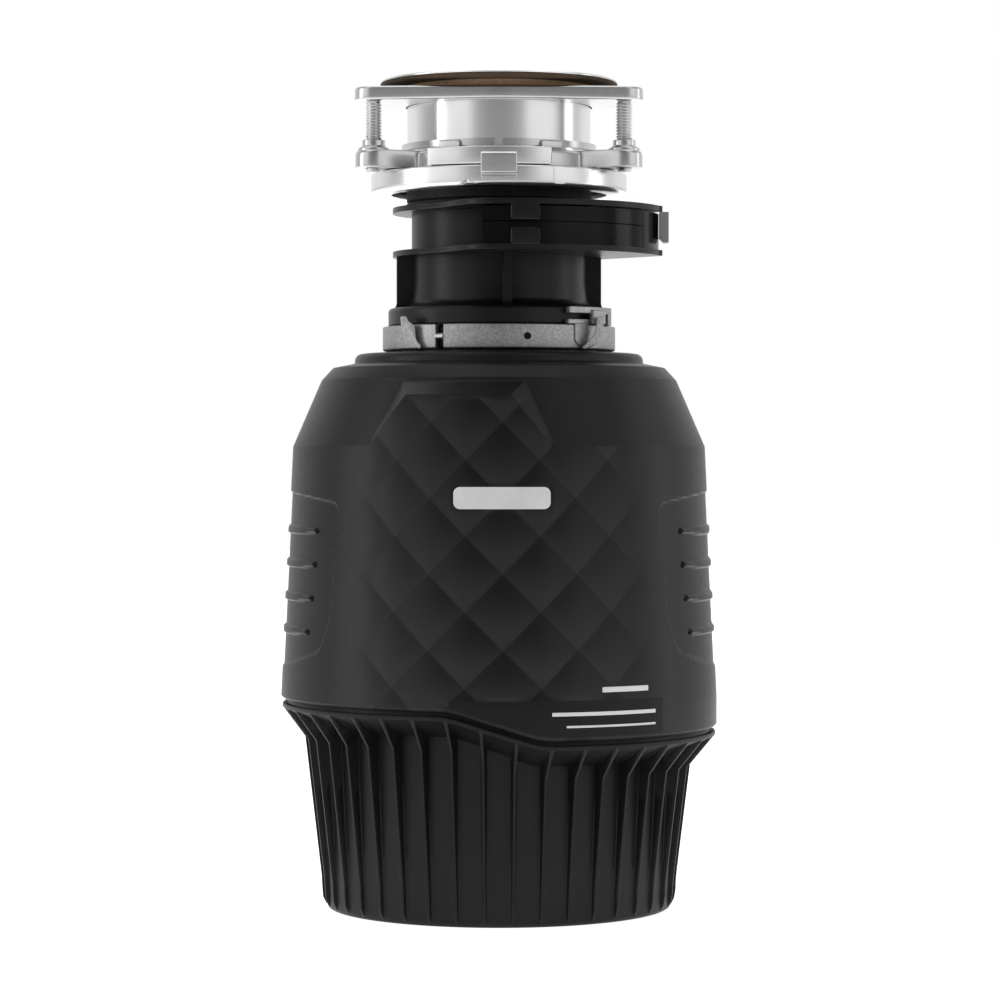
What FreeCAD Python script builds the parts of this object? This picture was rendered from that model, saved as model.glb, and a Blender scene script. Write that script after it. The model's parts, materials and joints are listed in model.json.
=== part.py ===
import FreeCAD, Part
import math
import os
import Sketcher

# Batch-feed kitchen garbage disposal for a standard sink opening.
# Frame: origin at the centre of the foot, +Z up, the quilted front faces -Y.
# Angles round the axis are measured from the front (-Y) towards +X.

CELLS = (
    # Base and shell, from the foot upwards
    ("foot_r", 82.6, "outside radius of the base at the foot"),
    ("base_top_r", 86.9, "outside radius of the base wall under the collar"),
    ("base_wall", 3.0, "wall of the base"),
    ("floor_z", 3.0, "underside of the base floor"),
    ("floor_top_z", 6.0, "upper side of the base floor"),
    ("neck_in_z", 87.7, "height where the base wall turns out into the collar"),
    ("collar_r", 103.7, "outside radius of the collar"),
    ("collar_z", 96.2, "lower edge of the collar face"),
    ("collar_top_z", 98.3, "upper edge of the collar face"),
    ("spigot_r", 101.0, "outside radius of the spigot inside the shell"),
    ("spigot_z", 112.0, "top of the spigot"),
    ("wave_drop", 13.5, "how far the seam drops from left to right"),
    ("wave_left_x", -23.4, "where the seam starts to drop"),
    ("wave_right_x", 19.8, "where the seam stops dropping"),
    ("rib_count", 40, "ribs round the base"),
    ("rib_width", 1.8, "width of a rib"),
    ("rib_foot_r", 84.6, "edge of a rib at the foot"),
    ("rib_bend_r", 92.6, "edge of a rib where it turns outwards"),
    ("rib_bend_z", 81.5, "height where a rib turns outwards"),
    ("shell_r", 104.4, "outside radius of the shell at the seam"),
    ("shell_wall", 2.6, "wall of the shell"),
    ("seam_z", 100.5, "lower edge of the shell on the left"),
    ("seam_bevel_z", 102.0, "where the shell wall starts to lean in"),
    ("crease_r", 98.6, "outside radius at the shoulder crease"),
    ("crease_z", 220.4, "height of the shoulder crease"),
    ("cone_top_r", 85.0, "outside radius at the top of the shoulder cone"),
    ("cone_top_z", 251.9, "height of the top of the shoulder cone"),
    ("crown_r", 79.5, "outside radius of the crown"),
    ("crown_z", 257.9, "height of the edge of the crown"),
    ("disc_r", 69.0, "radius of the raised disc on the crown"),
    ("disc_z", 260.0, "foot of the raised disc"),
    ("disc_edge_z", 262.4, "where the raised disc rounds over"),
    ("shell_top_z", 264.6, "top of the shell"),
    ("shell_hole_r", 47.6, "hole in the top of the shell"),
    ("dormer_at", -11.4, "angle of the middle of the dormer"),
    ("dormer_span", 52.0, "angle that the dormer covers at the crease"),
    ("dormer_foot_x", 42.7, "half width of the dormer at the crease"),
    ("dormer_head_x", 24.4, "half width of the dormer at its top"),
    ("dormer_r", 97.4, "outside radius at the top of the dormer"),
    ("dormer_z", 243.9, "top of the dormer face"),
    ("dormer_back_r", 85.7, "where the dormer's top meets the cone"),
    ("dormer_back_z", 250.4, "height where the dormer meets the cone"),
    ("panel_low_z", 118.0, "lower edge of the ridged side panels"),
    ("panel_high_z", 197.0, "upper edge of the ridged side panels"),
    ("panel_depth", 0.8, "depth of the ridged side panels"),
    ("panel_span", 78.0, "angle that a side panel covers"),
    ("ridge_span", 62.0, "angle that a ridge covers"),
    ("ridge_z", 134.0, "height of the lowest ridge"),
    ("ridge_step", 15.7, "height from one ridge to the next"),
    ("ridge_count", 4, "ridges on a side panel"),
    ("ridge_half", 1.7, "half height of a ridge"),
    ("ridge_rise", 0.7, "how far a ridge stands out"),
    # Discharge at the back
    ("outlet_z", 160.0, "height of the discharge axis"),
    ("outlet_r", 19.0, "bore of the discharge outlet"),
    ("outlet_wall", 3.6, "wall of the discharge outlet"),
    ("outlet_face_y", 90.0, "face of the discharge boss"),
    ("outlet_gasket", 2.5, "thickness of the discharge gasket"),
    ("outlet_flange", 4.5, "thickness of the discharge flange"),
    ("outlet_bolt_x", 30.0, "distance of a discharge bolt from the outlet axis"),
    ("outlet_bolt_r", 3.0, "radius of a discharge bolt"),
    ("outlet_bolt_hole_r", 3.3, "radius of a discharge bolt hole"),
    ("outlet_half_x", 39.0, "half width of the discharge flange"),
    ("outlet_half_z", 25.0, "half height of the discharge flange"),
    ("outlet_window", 4.0, "gap between the flange and the shell's window"),
    # Motor
    ("shaft_r", 7.9, "radius of the motor shaft"),
    ("shaft_fit", 0.05, "running fit of the shaft"),
    ("shaft_foot_z", 17.0, "lower end of the shaft"),
    ("bearing_r", 13.0, "outside radius of both bearings"),
    ("low_bearing_z", 18.0, "foot of the lower bearing"),
    ("low_bearing_top_z", 34.0, "top of the lower bearing"),
    ("end_frame_z", 24.0, "underside of the lower end frame"),
    ("end_frame_top_z", 30.0, "top of the lower end frame"),
    ("end_frame_r", 77.6, "radius of the lower end frame"),
    ("shroud_in_r", 75.6, "inside radius of the motor shroud"),
    ("shroud_r", 77.2, "outside radius of the motor shroud"),
    ("bell_z", 128.0, "underside of the drain housing"),
    ("stator_in_r", 38.6, "bore of the stator"),
    ("stator_r", 67.5, "outside radius of the stator"),
    ("stator_z", 50.0, "foot of the stator core"),
    ("stator_top_z", 105.0, "top of the stator core"),
    ("winding_in_r", 42.0, "inside radius of the windings"),
    ("winding_r", 63.0, "outside radius of the windings"),
    ("winding_z", 36.5, "foot of the lower winding"),
    ("winding_top_z", 121.0, "top of the upper winding"),
    ("rotor_r", 38.1, "outside radius of the rotor core"),
    ("rotor_z", 48.0, "foot of the rotor core"),
    ("rotor_top_z", 107.0, "top of the rotor core"),
    ("rotor_slot_at", 32.0, "pitch radius of the rotor's bars"),
    ("rotor_slot_r", 2.0, "radius of a slot for a rotor bar"),
    ("stator_slot_in_r", 44.0, "inner end of a stator slot"),
    ("stator_slot_r", 58.0, "outer end of a stator slot"),
    ("stator_slot_half", 2.4, "half width of a stator slot"),
    ("bolt_circle_r", 71.6, "pitch radius of the through bolts"),
    ("bolt_r", 2.4, "radius of a through bolt"),
    # Drain housing and grinding parts
    ("drain_in_r", 73.8, "inside radius of the drain bowl"),
    ("drain_r", 77.6, "outside radius of the drain housing"),
    ("drain_floor_z", 139.0, "floor of the drain bowl"),
    ("drain_top_z", 183.0, "top of the drain housing"),
    ("hub_r", 20.0, "outside radius of the bearing hubs"),
    ("up_bearing_top_z", 146.0, "top of the upper bearing"),
    ("seal_top_z", 152.0, "top of the shaft seal"),
    ("plate_z", 184.0, "underside of the shredder plate"),
    ("plate_top_z", 187.0, "top of the shredder plate"),
    ("plate_r", 70.0, "radius of the shredder plate"),
    ("ring_in_r", 71.0, "inside radius of the grind ring"),
    ("ring_r", 73.8, "outside radius of the grind ring"),
    ("ring_top_z", 208.0, "top of the grind ring"),
    ("chamber_r", 76.2, "outside radius of the grind chamber"),
    ("chamber_wall", 2.2, "wall of the grind chamber"),
    ("chamber_shoulder_z", 236.0, "where the grind chamber narrows"),
    ("chamber_neck_r", 47.0, "outside radius of the chamber's neck"),
    ("chamber_neck_z", 254.0, "foot of the chamber's neck"),
    ("chamber_lip_r", 52.4, "radius of the chamber's lip"),
    ("chamber_lip_z", 267.2, "underside of the chamber's lip"),
    ("chamber_top_z", 269.6, "top of the grind chamber"),
    ("lug_pivot_r", 46.0, "distance of a lug's pivot from the axis"),
    ("lug_reach", 21.5, "distance from a lug's pivot to its tip"),
    ("lug_tail", 12.0, "distance from a lug's pivot to its tail"),
    ("lug_half", 7.5, "half width of a lug"),
    ("lug_height", 12.0, "height of a lug"),
    ("lug_gap", 0.4, "gap between a lug and the shredder plate"),
    ("rivet_r", 4.0, "radius of a lug rivet"),
    ("rivet_head_r", 7.0, "radius of a lug rivet's head"),
    ("drain_hole_at", 58.0, "pitch radius of the shredder plate's holes"),
    ("drain_hole_r", 3.2, "radius of a hole in the shredder plate"),
    ("nut_r", 14.0, "radius of the plate nut at its foot"),
    ("nut_top_r", 9.0, "radius of the plate nut at its top"),
    ("nut_height", 9.0, "height of the plate nut"),
    ("nut_foot", 3.0, "height of the plate nut's upright edge"),
    ("notch_depth", 1.4, "depth of a notch in the grind ring"),
    ("notch_half", 2.0, "half width of a notch in the grind ring"),
    ("notch_z", 196.0, "middle height of the grind ring's notches"),
    ("notch_length", 16.0, "height of a notch in the grind ring"),
    # Throat
    ("neck_gasket_top_z", 272.4, "top of the neck gasket"),
    ("throat_bore_r", 38.6, "bore of the throat"),
    ("throat_r", 41.8, "outside radius of the throat"),
    ("throat_lip_r", 52.4, "radius of the lip inside the clamp ring"),
    ("throat_lip_z", 276.2, "top of the lip inside the clamp ring"),
    ("clamp_r", 55.7, "outside radius of the clamp ring"),
    ("clamp_z", 266.0, "foot of the clamp ring"),
    ("clamp_top_z", 277.5, "top of the clamp ring"),
    ("clamp_mid_z", 271.75, "middle height of the clamp ring"),
    ("clamp_wall", 2.7, "wall of the clamp ring"),
    ("clamp_gap", 4.0, "gap where the clamp ring is split"),
    ("clamp_gap_at", -30.0, "angle of the split in the clamp ring"),
    ("clamp_pin_r", 1.6, "radius of the pin across the split"),
    ("clamp_pin_at", 54.6, "distance of the pin from the axis"),
    ("clamp_hole_r", 1.7, "radius of the set screw hole in the clamp ring"),
    ("clamp_hole_x", 13.3, "set screw hole to the right of the axis"),
    ("throat_flange_r", 53.0, "radius of the throat's lower flange"),
    ("throat_flange_z", 278.3, "foot of the throat's lower flange"),
    ("throat_flange_top_z", 286.4, "top of the throat's lower flange"),
    ("flange_round", 2.0, "rounding of the throat's lower flange"),
    ("fin_r", 49.1, "outside radius of the fins"),
    ("fin_width", 3.6, "width of a fin"),
    ("deck_low_z", 310.8, "underside of the lower deck"),
    ("deck_high_z", 331.7, "underside of the upper deck"),
    ("deck_thick", 2.6, "thickness of a deck"),
    ("deck_r", 50.9, "radius of the decks round the axis"),
    ("wing_r", 74.0, "radius of the decks' wing"),
    ("wing_x", 5.0, "centre of the wing to the right of the axis"),
    ("inlet_z", 298.5, "height of the dishwasher inlet"),
    ("inlet_bore_r", 9.0, "bore of the dishwasher inlet"),
    ("inlet_r", 11.0, "outside radius of the dishwasher inlet"),
    ("inlet_y", 66.0, "end of the dishwasher inlet"),
    ("inlet_root_r", 12.0, "radius of the shoulder that stops the dishwasher hose"),
    ("inlet_root_y", 54.0, "face of the shoulder that stops the dishwasher hose"),
    ("knockout_y", 48.0, "outer face of the disc that closes the dishwasher inlet"),
    ("knockout_thick", 3.0, "thickness of the disc that closes the dishwasher inlet"),
    # Sensor module between the decks
    ("module_r", 72.0, "outside radius of the sensor housing"),
    ("module_in_r", 43.5, "inside radius of the sensor housing"),
    ("module_left_x", -7.7, "left end of the sensor housing"),
    ("module_right_x", 67.7, "right end of the sensor housing"),
    ("module_z", 313.6, "foot of the sensor housing"),
    ("module_split_z", 323.9, "joint between the two housing halves"),
    ("module_top_z", 331.0, "top of the sensor housing"),
    ("module_wall", 2.0, "wall of the sensor housing"),
    ("module_gap", 0.2, "half gap between the two housing halves"),
    ("cap_right_x", 76.0, "right end of the end cap"),
    ("clip_x", 12.0, "centre of the clip"),
    ("clip_half", 6.5, "half width of the clip"),
    ("latch_x", 76.2, "inner face of the latch tab"),
    ("latch_out_x", 80.4, "outer face of the latch tab"),
    # Sink mount
    ("cushion_r", 44.2, "outside radius of the cushion"),
    ("cushion_bore_r", 39.0, "bore of the cushion"),
    ("cushion_z", 334.4, "foot of the cushion"),
    ("cushion_lip_r", 56.8, "radius of the cushion's lip"),
    ("cushion_lip_z", 343.6, "underside of the cushion's lip"),
    ("cushion_lip_top_z", 349.2, "top of the cushion's lip"),
    ("cushion_top_z", 351.9, "top of the cushion"),
    ("lock_r", 61.2, "outside radius of the lower mounting ring"),
    ("lock_bore_r", 51.5, "bore of the lower mounting ring"),
    ("lock_z", 340.5, "foot of the lower mounting ring"),
    ("lock_web_z", 343.2, "top of the lower mounting ring's web"),
    ("lock_top_z", 350.6, "top of the lower mounting ring"),
    ("lock_wall", 3.6, "wall of the lower mounting ring"),
    ("tab_half", 8.3, "half width of the rolled tab"),
    ("tab_z", 344.1, "foot of the rolled tab"),
    ("tab_top_z", 357.0, "top of the rolled tab"),
    ("tab_out", 2.6, "how far the rolled tab stands out of the ring"),
    ("ears_z", 351.0, "underside of the mounting ring"),
    ("ears_top_z", 359.4, "top of the mounting ring"),
    ("ear_at_r", 67.9, "distance of an ear's hole from the axis"),
    ("ear_r", 8.6, "radius of an ear"),
    ("waist_r", 50.0, "radius of the mounting ring between its ears"),
    ("ears_bore_r", 44.6, "bore of the mounting ring"),
    ("boss_r", 5.4, "radius of the boss on an ear"),
    ("boss_z", 364.2, "top of the boss on an ear"),
    ("snap_r", 46.6, "outside radius of the snap ring"),
    ("snap_z", 361.1, "foot of the snap ring"),
    ("snap_top_z", 364.2, "top of the snap ring"),
    ("screw_r", 3.9, "radius of a mounting screw"),
    ("screw_z", 349.5, "foot of a mounting screw"),
    ("screw_top_z", 382.3, "top of a mounting screw"),
    ("screw_fit", 0.1, "running fit of a mounting screw"),
    ("backup_z", 382.5, "underside of the backup flange"),
    ("backup_top_z", 388.8, "top of the backup flange"),
    ("backup_bore_r", 44.6, "bore of the backup flange"),
    ("backup_tip_r", 8.9, "corner radius of the backup flange"),
    ("gasket_r", 54.5, "radius of the fibre gasket"),
    ("gasket_step_r", 46.0, "radius of the fibre gasket's lower step"),
    ("gasket_step_z", 392.0, "underside of the gasket's wide part"),
    ("rim_r", 57.15, "radius of the sink flange's rim"),
    ("rim_z", 393.6, "underside of the rim"),
    ("rim_top_z", 395.2, "top of the rim"),
    ("sleeve_r", 43.9, "outside radius of the sleeve"),
    ("sleeve_wall", 1.5, "wall of the sleeve"),
    ("sleeve_z", 352.0, "foot of the sleeve"),
    # Cover
    ("plug_r", 41.6, "radius of the cover plug"),
    ("plug_z", 366.0, "foot of the cover plug"),
    ("plug_top_z", 380.0, "top of the cover plug"),
    ("plug_wall", 3.0, "wall of the cover plug"),
    ("plug_seal_r", 42.2, "outside radius of the cover seal"),
    ("plug_seal_z", 370.0, "foot of the cover seal"),
    ("plug_seal_top_z", 373.4, "top of the cover seal"),
    ("plug_groove_r", 39.6, "radius of the groove for the seal"),
    ("seal_gap", 0.2, "gap between the seal and its groove"),
    ("handle_top_z", 393.0, "top of the cover's handle"),
    ("handle_half", 30.0, "half length of the cover's handle"),
    ("handle_width", 7.0, "width of the cover's handle"),
    ("magnet_r", 5.0, "radius of a cover magnet"),
    ("magnet_at", 30.0, "distance of a cover magnet from the axis"),
    ("magnet_height", 5.0, "height of a cover magnet"),
    # Electrical parts and fittings under the motor
    ("button_r", 4.2, "radius of the reset button"),
    ("button_hole_r", 4.6, "radius of the hole for the reset button"),
    ("button_x", -46.0, "place of the reset button"),
    ("button_y", -30.0, "place of the reset button"),
    ("button_z", 0.8, "foot of the reset button"),
    ("button_top_z", 12.0, "top of the reset button"),
    ("breaker_z", 8.0, "foot of the overload protector"),
    ("breaker_top_z", 20.0, "top of the overload protector"),
    ("relay_x", 44.0, "place of the start relay"),
    ("relay_y", -30.0, "place of the start relay"),
    ("cable_x", 28.0, "place of the cable entry"),
    ("cable_y", 46.0, "place of the cable entry"),
    ("cable_r", 11.1, "radius of the cable entry"),
    ("hatch_x", -22.0, "place of the terminal cover"),
    ("hatch_y", 46.0, "place of the terminal cover"),
    ("hatch_half_x", 26.0, "half length of the terminal cover"),
    ("hatch_half_y", 18.0, "half width of the terminal cover"),
    ("hatch_screw_at", 21.0, "distance of the screw from the middle of the terminal cover"),
    ("hatch_thick", 1.6, "thickness of the terminal cover"),
    ("hatch_screw_r", 2.0, "radius of the terminal cover's screw"),
    # Blank name plate on the front
    ("name_x", 1.4, "middle of the name plate to the right of the axis"),
    ("name_z", 197.0, "height of the name plate"),
    ("name_half_x", 22.0, "half length of the name plate"),
    ("name_half_z", 5.0, "half height of the name plate"),
    ("name_round", 3.0, "corner radius of the name plate"),
    ("name_thick", 0.4, "thickness of the name plate"),
)

ROUND = 360
SHEET = "Sizes"


def make_sheet(doc):
    """Spreadsheet of driving dimensions, one aliased cell for each."""
    sheet = doc.addObject("Spreadsheet::Sheet", SHEET)
    for row, (alias, value, note) in enumerate(CELLS, start=1):
        sheet.set("A%d" % row, note)
        sheet.set("B%d" % row, "%g" % value)
        sheet.setAlias("B%d" % row, alias)
    doc.recompute()
    return sheet


doc = FreeCAD.newDocument("garbage_disposal")
sizes = make_sheet(doc)


# ---------------------------------------------------------------- helpers

def is_name(word):
    return word.isidentifier()


def value_of(formula):
    """The number that a sum of sheet names and plain numbers comes to."""
    total = 0.0
    sign = 1.0
    for word in formula.split():
        if word in ("+", "-"):
            sign = 1.0 if word == "+" else -1.0
        else:
            total += sign * (getattr(sizes, word) if is_name(word) else float(word))
    return total


def bound(formula):
    """The same sum as an expression that refers to the sheet."""
    words = [SHEET + "." + word if is_name(word) else word for word in formula.split()]
    return " ".join(words)


def minus(formula):
    """The formula with every sign turned round, ready to follow another one."""
    flipped = {"+": "-", "-": "+"}
    return "- " + " ".join(flipped.get(word, word) for word in formula.split())


def origin_item(body, role):
    return [item for item in body.Origin.OriginFeatures if item.Role == role][0]


def new_body(label):
    body = doc.addObject("PartDesign::Body", label)
    body.Label = label
    body.AllowCompound = True
    return body


def new_sketch(body, name, role, offset="0", turn=0.0):
    """Sketch on an origin plane, moved along its normal and turned about its upright."""
    sketch = body.newObject("Sketcher::SketchObject", name)
    sketch.AttachmentSupport = (origin_item(body, role), [""])
    sketch.MapMode = "FlatFace"
    turned_by = FreeCAD.Rotation(FreeCAD.Vector(0, 1, 0), turn)
    shift = turned_by.multVec(FreeCAD.Vector(0, 0, value_of(offset)))
    sketch.AttachmentOffset = FreeCAD.Placement(shift, turned_by)
    if turn == 0.0 and offset != "0":
        sketch.setExpression("AttachmentOffset.Base.z", bound(offset))
    return sketch


def pin_point(sketch, index, end, across, up):
    """Fix one end of a line or arc with two dimensions from the sketch's origin."""
    for kind, axis, formula in (("DistanceX", -2, across), ("DistanceY", -1, up)):
        value = value_of(formula)
        if abs(value) < 1e-9:
            sketch.addConstraint(Sketcher.Constraint("PointOnObject", index, end, axis))
        else:
            fixed = sketch.addConstraint(Sketcher.Constraint(kind, -1, 1, index, end, value))
            sketch.setExpression("Constraints[%d]" % fixed, bound(formula))


def arc_between(start, finish, radius):
    """Arc from start to finish; a positive radius turns left on the way."""
    chord = finish - start
    middle = (start + finish) * 0.5
    side = FreeCAD.Vector(-chord.y, chord.x, 0).normalize()
    rise = math.sqrt(max(radius * radius - chord.Length ** 2 / 4, 0.0))
    centre = middle + side * math.copysign(rise, radius)
    first, last = (start, finish) if radius > 0 else (finish, start)
    angles = [math.atan2(point.y - centre.y, point.x - centre.x) for point in (first, last)]
    circle = Part.Circle(centre, FreeCAD.Vector(0, 0, 1), abs(radius))
    return Part.ArcOfCircle(circle, angles[0], angles[1])


def draw_outline(sketch, points):
    """Closed outline. A point is (across, up) or (across, up, turn, radius).

    The turn, "left" or "right", and the radius shape the arc that leaves the point.
    """
    first = sketch.GeometryCount
    spots = [FreeCAD.Vector(value_of(point[0]), value_of(point[1]), 0) for point in points]
    ends = []
    for number, point in enumerate(points):
        start = spots[number]
        finish = spots[(number + 1) % len(spots)]
        if len(point) == 2:
            sketch.addGeometry(Part.LineSegment(start, finish), False)
            ends.append((1, 2))
        else:
            sign = 1 if point[2] == "left" else -1
            sketch.addGeometry(arc_between(start, finish, sign * value_of(point[3])), False)
            ends.append((1, 2) if sign > 0 else (2, 1))
    for number, point in enumerate(points):
        index = first + number
        following = first + (number + 1) % len(points)
        joint = (index, ends[number][1], following, ends[(number + 1) % len(points)][0])
        sketch.addConstraint(Sketcher.Constraint("Coincident", *joint))
    for number, point in enumerate(points):
        pin_point(sketch, first + number, ends[number][0], point[0], point[1])
        if len(point) == 4:
            radius = sketch.addConstraint(
                Sketcher.Constraint("Radius", first + number, value_of(point[3])))
            sketch.setExpression("Constraints[%d]" % radius, bound(point[3]))


def draw_circle(sketch, across, up, radius):
    centre = FreeCAD.Vector(value_of(across), value_of(up), 0)
    circle = Part.Circle(centre, FreeCAD.Vector(0, 0, 1), value_of(radius))
    index = sketch.addGeometry(circle, False)
    pin_point(sketch, index, 3, across, up)
    fixed = sketch.addConstraint(Sketcher.Constraint("Radius", index, value_of(radius)))
    sketch.setExpression("Constraints[%d]" % fixed, bound(radius))


def box_outline(left, right, low, high):
    return [(left, low), (right, low), (right, high), (left, high)]


def pad(body, sketch, name, length, midplane=False):
    feature = body.newObject("PartDesign::Pad", name)
    feature.Profile = sketch
    feature.setExpression("Length", bound(length))
    feature.Midplane = midplane
    return feature


def pocket(body, sketch, name, length):
    """Cut that reaches half its length to each side of the sketch."""
    feature = body.newObject("PartDesign::Pocket", name)
    feature.Profile = sketch
    feature.setExpression("Length", bound(length))
    feature.Midplane = True
    return feature


def revolve(body, sketch, name, angle=ROUND, kind="PartDesign::Revolution"):
    """Turn a sketch about its upright axis, half the angle to each side of it."""
    feature = body.newObject(kind, name)
    feature.Profile = sketch
    feature.ReferenceAxis = (sketch, ["V_Axis"])
    if angle == ROUND:
        feature.Angle = ROUND
    else:
        feature.setExpression("Angle", bound(angle))
        feature.Midplane = True
    return feature


def repeat_round(body, features, name, count):
    pattern = body.newObject("PartDesign::PolarPattern", name)
    pattern.Originals = features
    pattern.Axis = (origin_item(body, "Z_Axis"), [""])
    pattern.Angle = ROUND
    pattern.Occurrences = count
    body.Tip = pattern
    return pattern


def turned_body(label, outline):
    """Body of one revolved outline of (radius, height) points."""
    body = new_body(label)
    sketch = new_sketch(body, label + "_outline", "XZ_Plane")
    draw_outline(sketch, outline)
    revolve(body, sketch, label + "_turn")
    return body


def tube_body(label, inner, outer, low, high):
    return turned_body(label, box_outline(inner, outer, low, high))


def drill(body, name, across, up, radius, level, length, role="XY_Plane"):
    """Round hole centred on the level, half its length to each side."""
    sketch = new_sketch(body, name + "_circle", role, level)
    draw_circle(sketch, across, up, radius)
    return pocket(body, sketch, name, length)


def stud(body, name, across, up, radius, level, length, role="XY_Plane"):
    """Round post that rises from the level."""
    sketch = new_sketch(body, name + "_circle", role, level)
    draw_circle(sketch, across, up, radius)
    return pad(body, sketch, name, length)


def slab(body, name, outline, level, length, role="XY_Plane"):
    """Straight pad of an outline that rises from the level."""
    sketch = new_sketch(body, name + "_outline", role, level)
    draw_outline(sketch, outline)
    return pad(body, sketch, name, length)


def slab_cut(body, name, outline, level, length, role="XY_Plane"):
    """Straight cut of an outline, half its length to each side of the level."""
    sketch = new_sketch(body, name + "_outline", role, level)
    draw_outline(sketch, outline)
    return pocket(body, sketch, name, length)


def ring_point(radius, angle, level=0.0):
    """Point at a radius and an angle measured from the front."""
    turn = math.radians(angle)
    return FreeCAD.Vector(radius * math.sin(turn), -radius * math.cos(turn), level)


def code_part(label, shape):
    """Sub-part whose shape is worked out with Part's own functions."""
    feature = doc.addObject("Part::Feature", label)
    feature.Label = label
    feature.Shape = shape
    feature.Placement = FreeCAD.Placement()
    return feature


# ------------------------------------------------------- sink mount and cover

def make_sink_flange():
    turned_body("sink_flange", [
        ("sleeve_r - sleeve_wall", "sleeve_z"),
        ("sleeve_r", "sleeve_z"),
        ("sleeve_r", "rim_z - 2.0", "right", "2.0"),
        ("sleeve_r + 2.0", "rim_z"),
        ("rim_r - 0.6", "rim_z", "left", "0.6"),
        ("rim_r", "rim_z + 0.6"),
        ("rim_r - 1.0", "rim_top_z"),
        ("sleeve_r + 3.0", "rim_top_z", "left", "4.5"),
        ("sleeve_r - sleeve_wall", "rim_top_z - 4.5"),
    ])


def make_fibre_gasket():
    turned_body("fibre_gasket", [
        ("sleeve_r + 0.3", "backup_top_z"),
        ("gasket_step_r", "backup_top_z"),
        ("gasket_step_r", "gasket_step_z"),
        ("gasket_r", "gasket_step_z"),
        ("gasket_r", "rim_z"),
        ("sleeve_r + 2.0", "rim_z"),
        ("sleeve_r + 0.3", "rim_z - 1.7"),
    ])


def rounded_triangle(label, bore, waist, tip, level, top):
    """Flange with a round bore, a round waist and three rounded tips at the screws."""
    body = new_body(label)
    height = top + " " + minus(level)
    slab_sketch = new_sketch(body, label + "_waist_outline", "XY_Plane", level)
    draw_circle(slab_sketch, "0", "0", waist)
    pad(body, slab_sketch, label + "_waist", height)
    reach = value_of("ear_at_r")
    tip_r = value_of(tip)
    waist_r = value_of(waist)
    lean = math.asin((waist_r - tip_r) / reach)
    outline = [
        (waist_r * math.cos(lean), waist_r * math.sin(lean)),
        (tip_r * math.cos(lean), reach + tip_r * math.sin(lean)),
        (-tip_r * math.cos(lean), reach + tip_r * math.sin(lean)),
        (-waist_r * math.cos(lean), waist_r * math.sin(lean)),
    ]
    words = [("%.4f" % across, "%.4f" % up) for across, up in outline]
    words[1] = words[1] + ("left", tip)
    arm = slab(body, label + "_arm", words, level, height)
    repeat_round(body, [arm], label + "_arms", 3)
    drill(body, label + "_bore", "0", "0", bore, top, height + " + 20")


def make_backup_flange():
    rounded_triangle(
        "backup_flange", "backup_bore_r", "waist_r", "backup_tip_r", "backup_z", "backup_top_z")


def make_mounting_ring():
    body = new_body("mounting_ring")
    height = "ears_top_z - ears_z"
    slab_sketch = new_sketch(body, "mounting_ring_waist_outline", "XY_Plane", "ears_z")
    draw_circle(slab_sketch, "0", "0", "waist_r")
    pad(body, slab_sketch, "mounting_ring_waist", height)
    ear = slab(body, "mounting_ring_ear", [
        ("ear_r", "0"),
        ("ear_r", "ear_at_r", "left", "ear_r"),
        ("0", "ear_at_r + ear_r", "left", "ear_r"),
        ("0 - ear_r", "ear_at_r"),
        ("0 - ear_r", "0"),
    ], "ears_z", height)
    boss = stud(body, "mounting_ring_boss", "0", "ear_at_r", "boss_r", "ears_top_z",
                "boss_z - ears_top_z")
    hole = drill(body, "mounting_ring_hole", "0", "ear_at_r", "screw_r + screw_fit",
                 "ears_z", "80")
    repeat_round(body, [ear, boss, hole], "mounting_ring_ears", 3)
    drill(body, "mounting_ring_bore", "0", "0", "ears_bore_r", "ears_z", "80")


def make_snap_ring():
    body = tube_body("snap_ring", "sleeve_r + 0.1", "snap_r", "snap_z", "snap_top_z")
    slab_cut(body, "snap_ring_gap", box_outline("0 - 2.0", "2.0", "0 - 60", "0 - 30"),
             "snap_z", "20")


def make_mounting_screw(label, angle):
    """Slotted set screw that pushes the backup flange up against the sink."""
    body = tube_body(label, "0", "screw_r", "screw_z", "screw_top_z")
    slab_cut(body, label + "_slot", box_outline("0 - 5", "5", "0 - 0.5", "0.5"), "screw_z", "3")
    body.Placement.Base = ring_point(value_of("ear_at_r"), angle)
    body.setExpression("Placement.Base.x", "%s.ear_at_r * %.6f" % (
        SHEET, math.sin(math.radians(angle))))
    body.setExpression("Placement.Base.y", "%s.ear_at_r * %.6f" % (
        SHEET, -math.cos(math.radians(angle))))


def make_lower_mounting_ring():
    body = turned_body("lower_mounting_ring", [
        ("lock_bore_r", "lock_z"),
        ("lock_r - 2.6", "lock_z", "left", "2.6"),
        ("lock_r", "lock_z + 2.6"),
        ("lock_r", "lock_top_z - 0.8"),
        ("lock_r - 0.8", "lock_top_z"),
        ("lock_r - lock_wall", "lock_top_z"),
        ("lock_r - lock_wall", "lock_web_z"),
        ("lock_bore_r", "lock_web_z"),
    ])
    slab(body, "lower_mounting_ring_tab", [
        ("0 - tab_half", "0 - lock_r + 2.0"),
        ("0 - tab_half", "0 - lock_r - tab_out + 1.0"),
        ("1.0 - tab_half", "0 - lock_r - tab_out"),
        ("tab_half - 1.0", "0 - lock_r - tab_out"),
        ("tab_half", "0 - lock_r - tab_out + 1.0"),
        ("tab_half", "0 - lock_r + 2.0"),
    ], "tab_z", "tab_top_z - tab_z")


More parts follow.
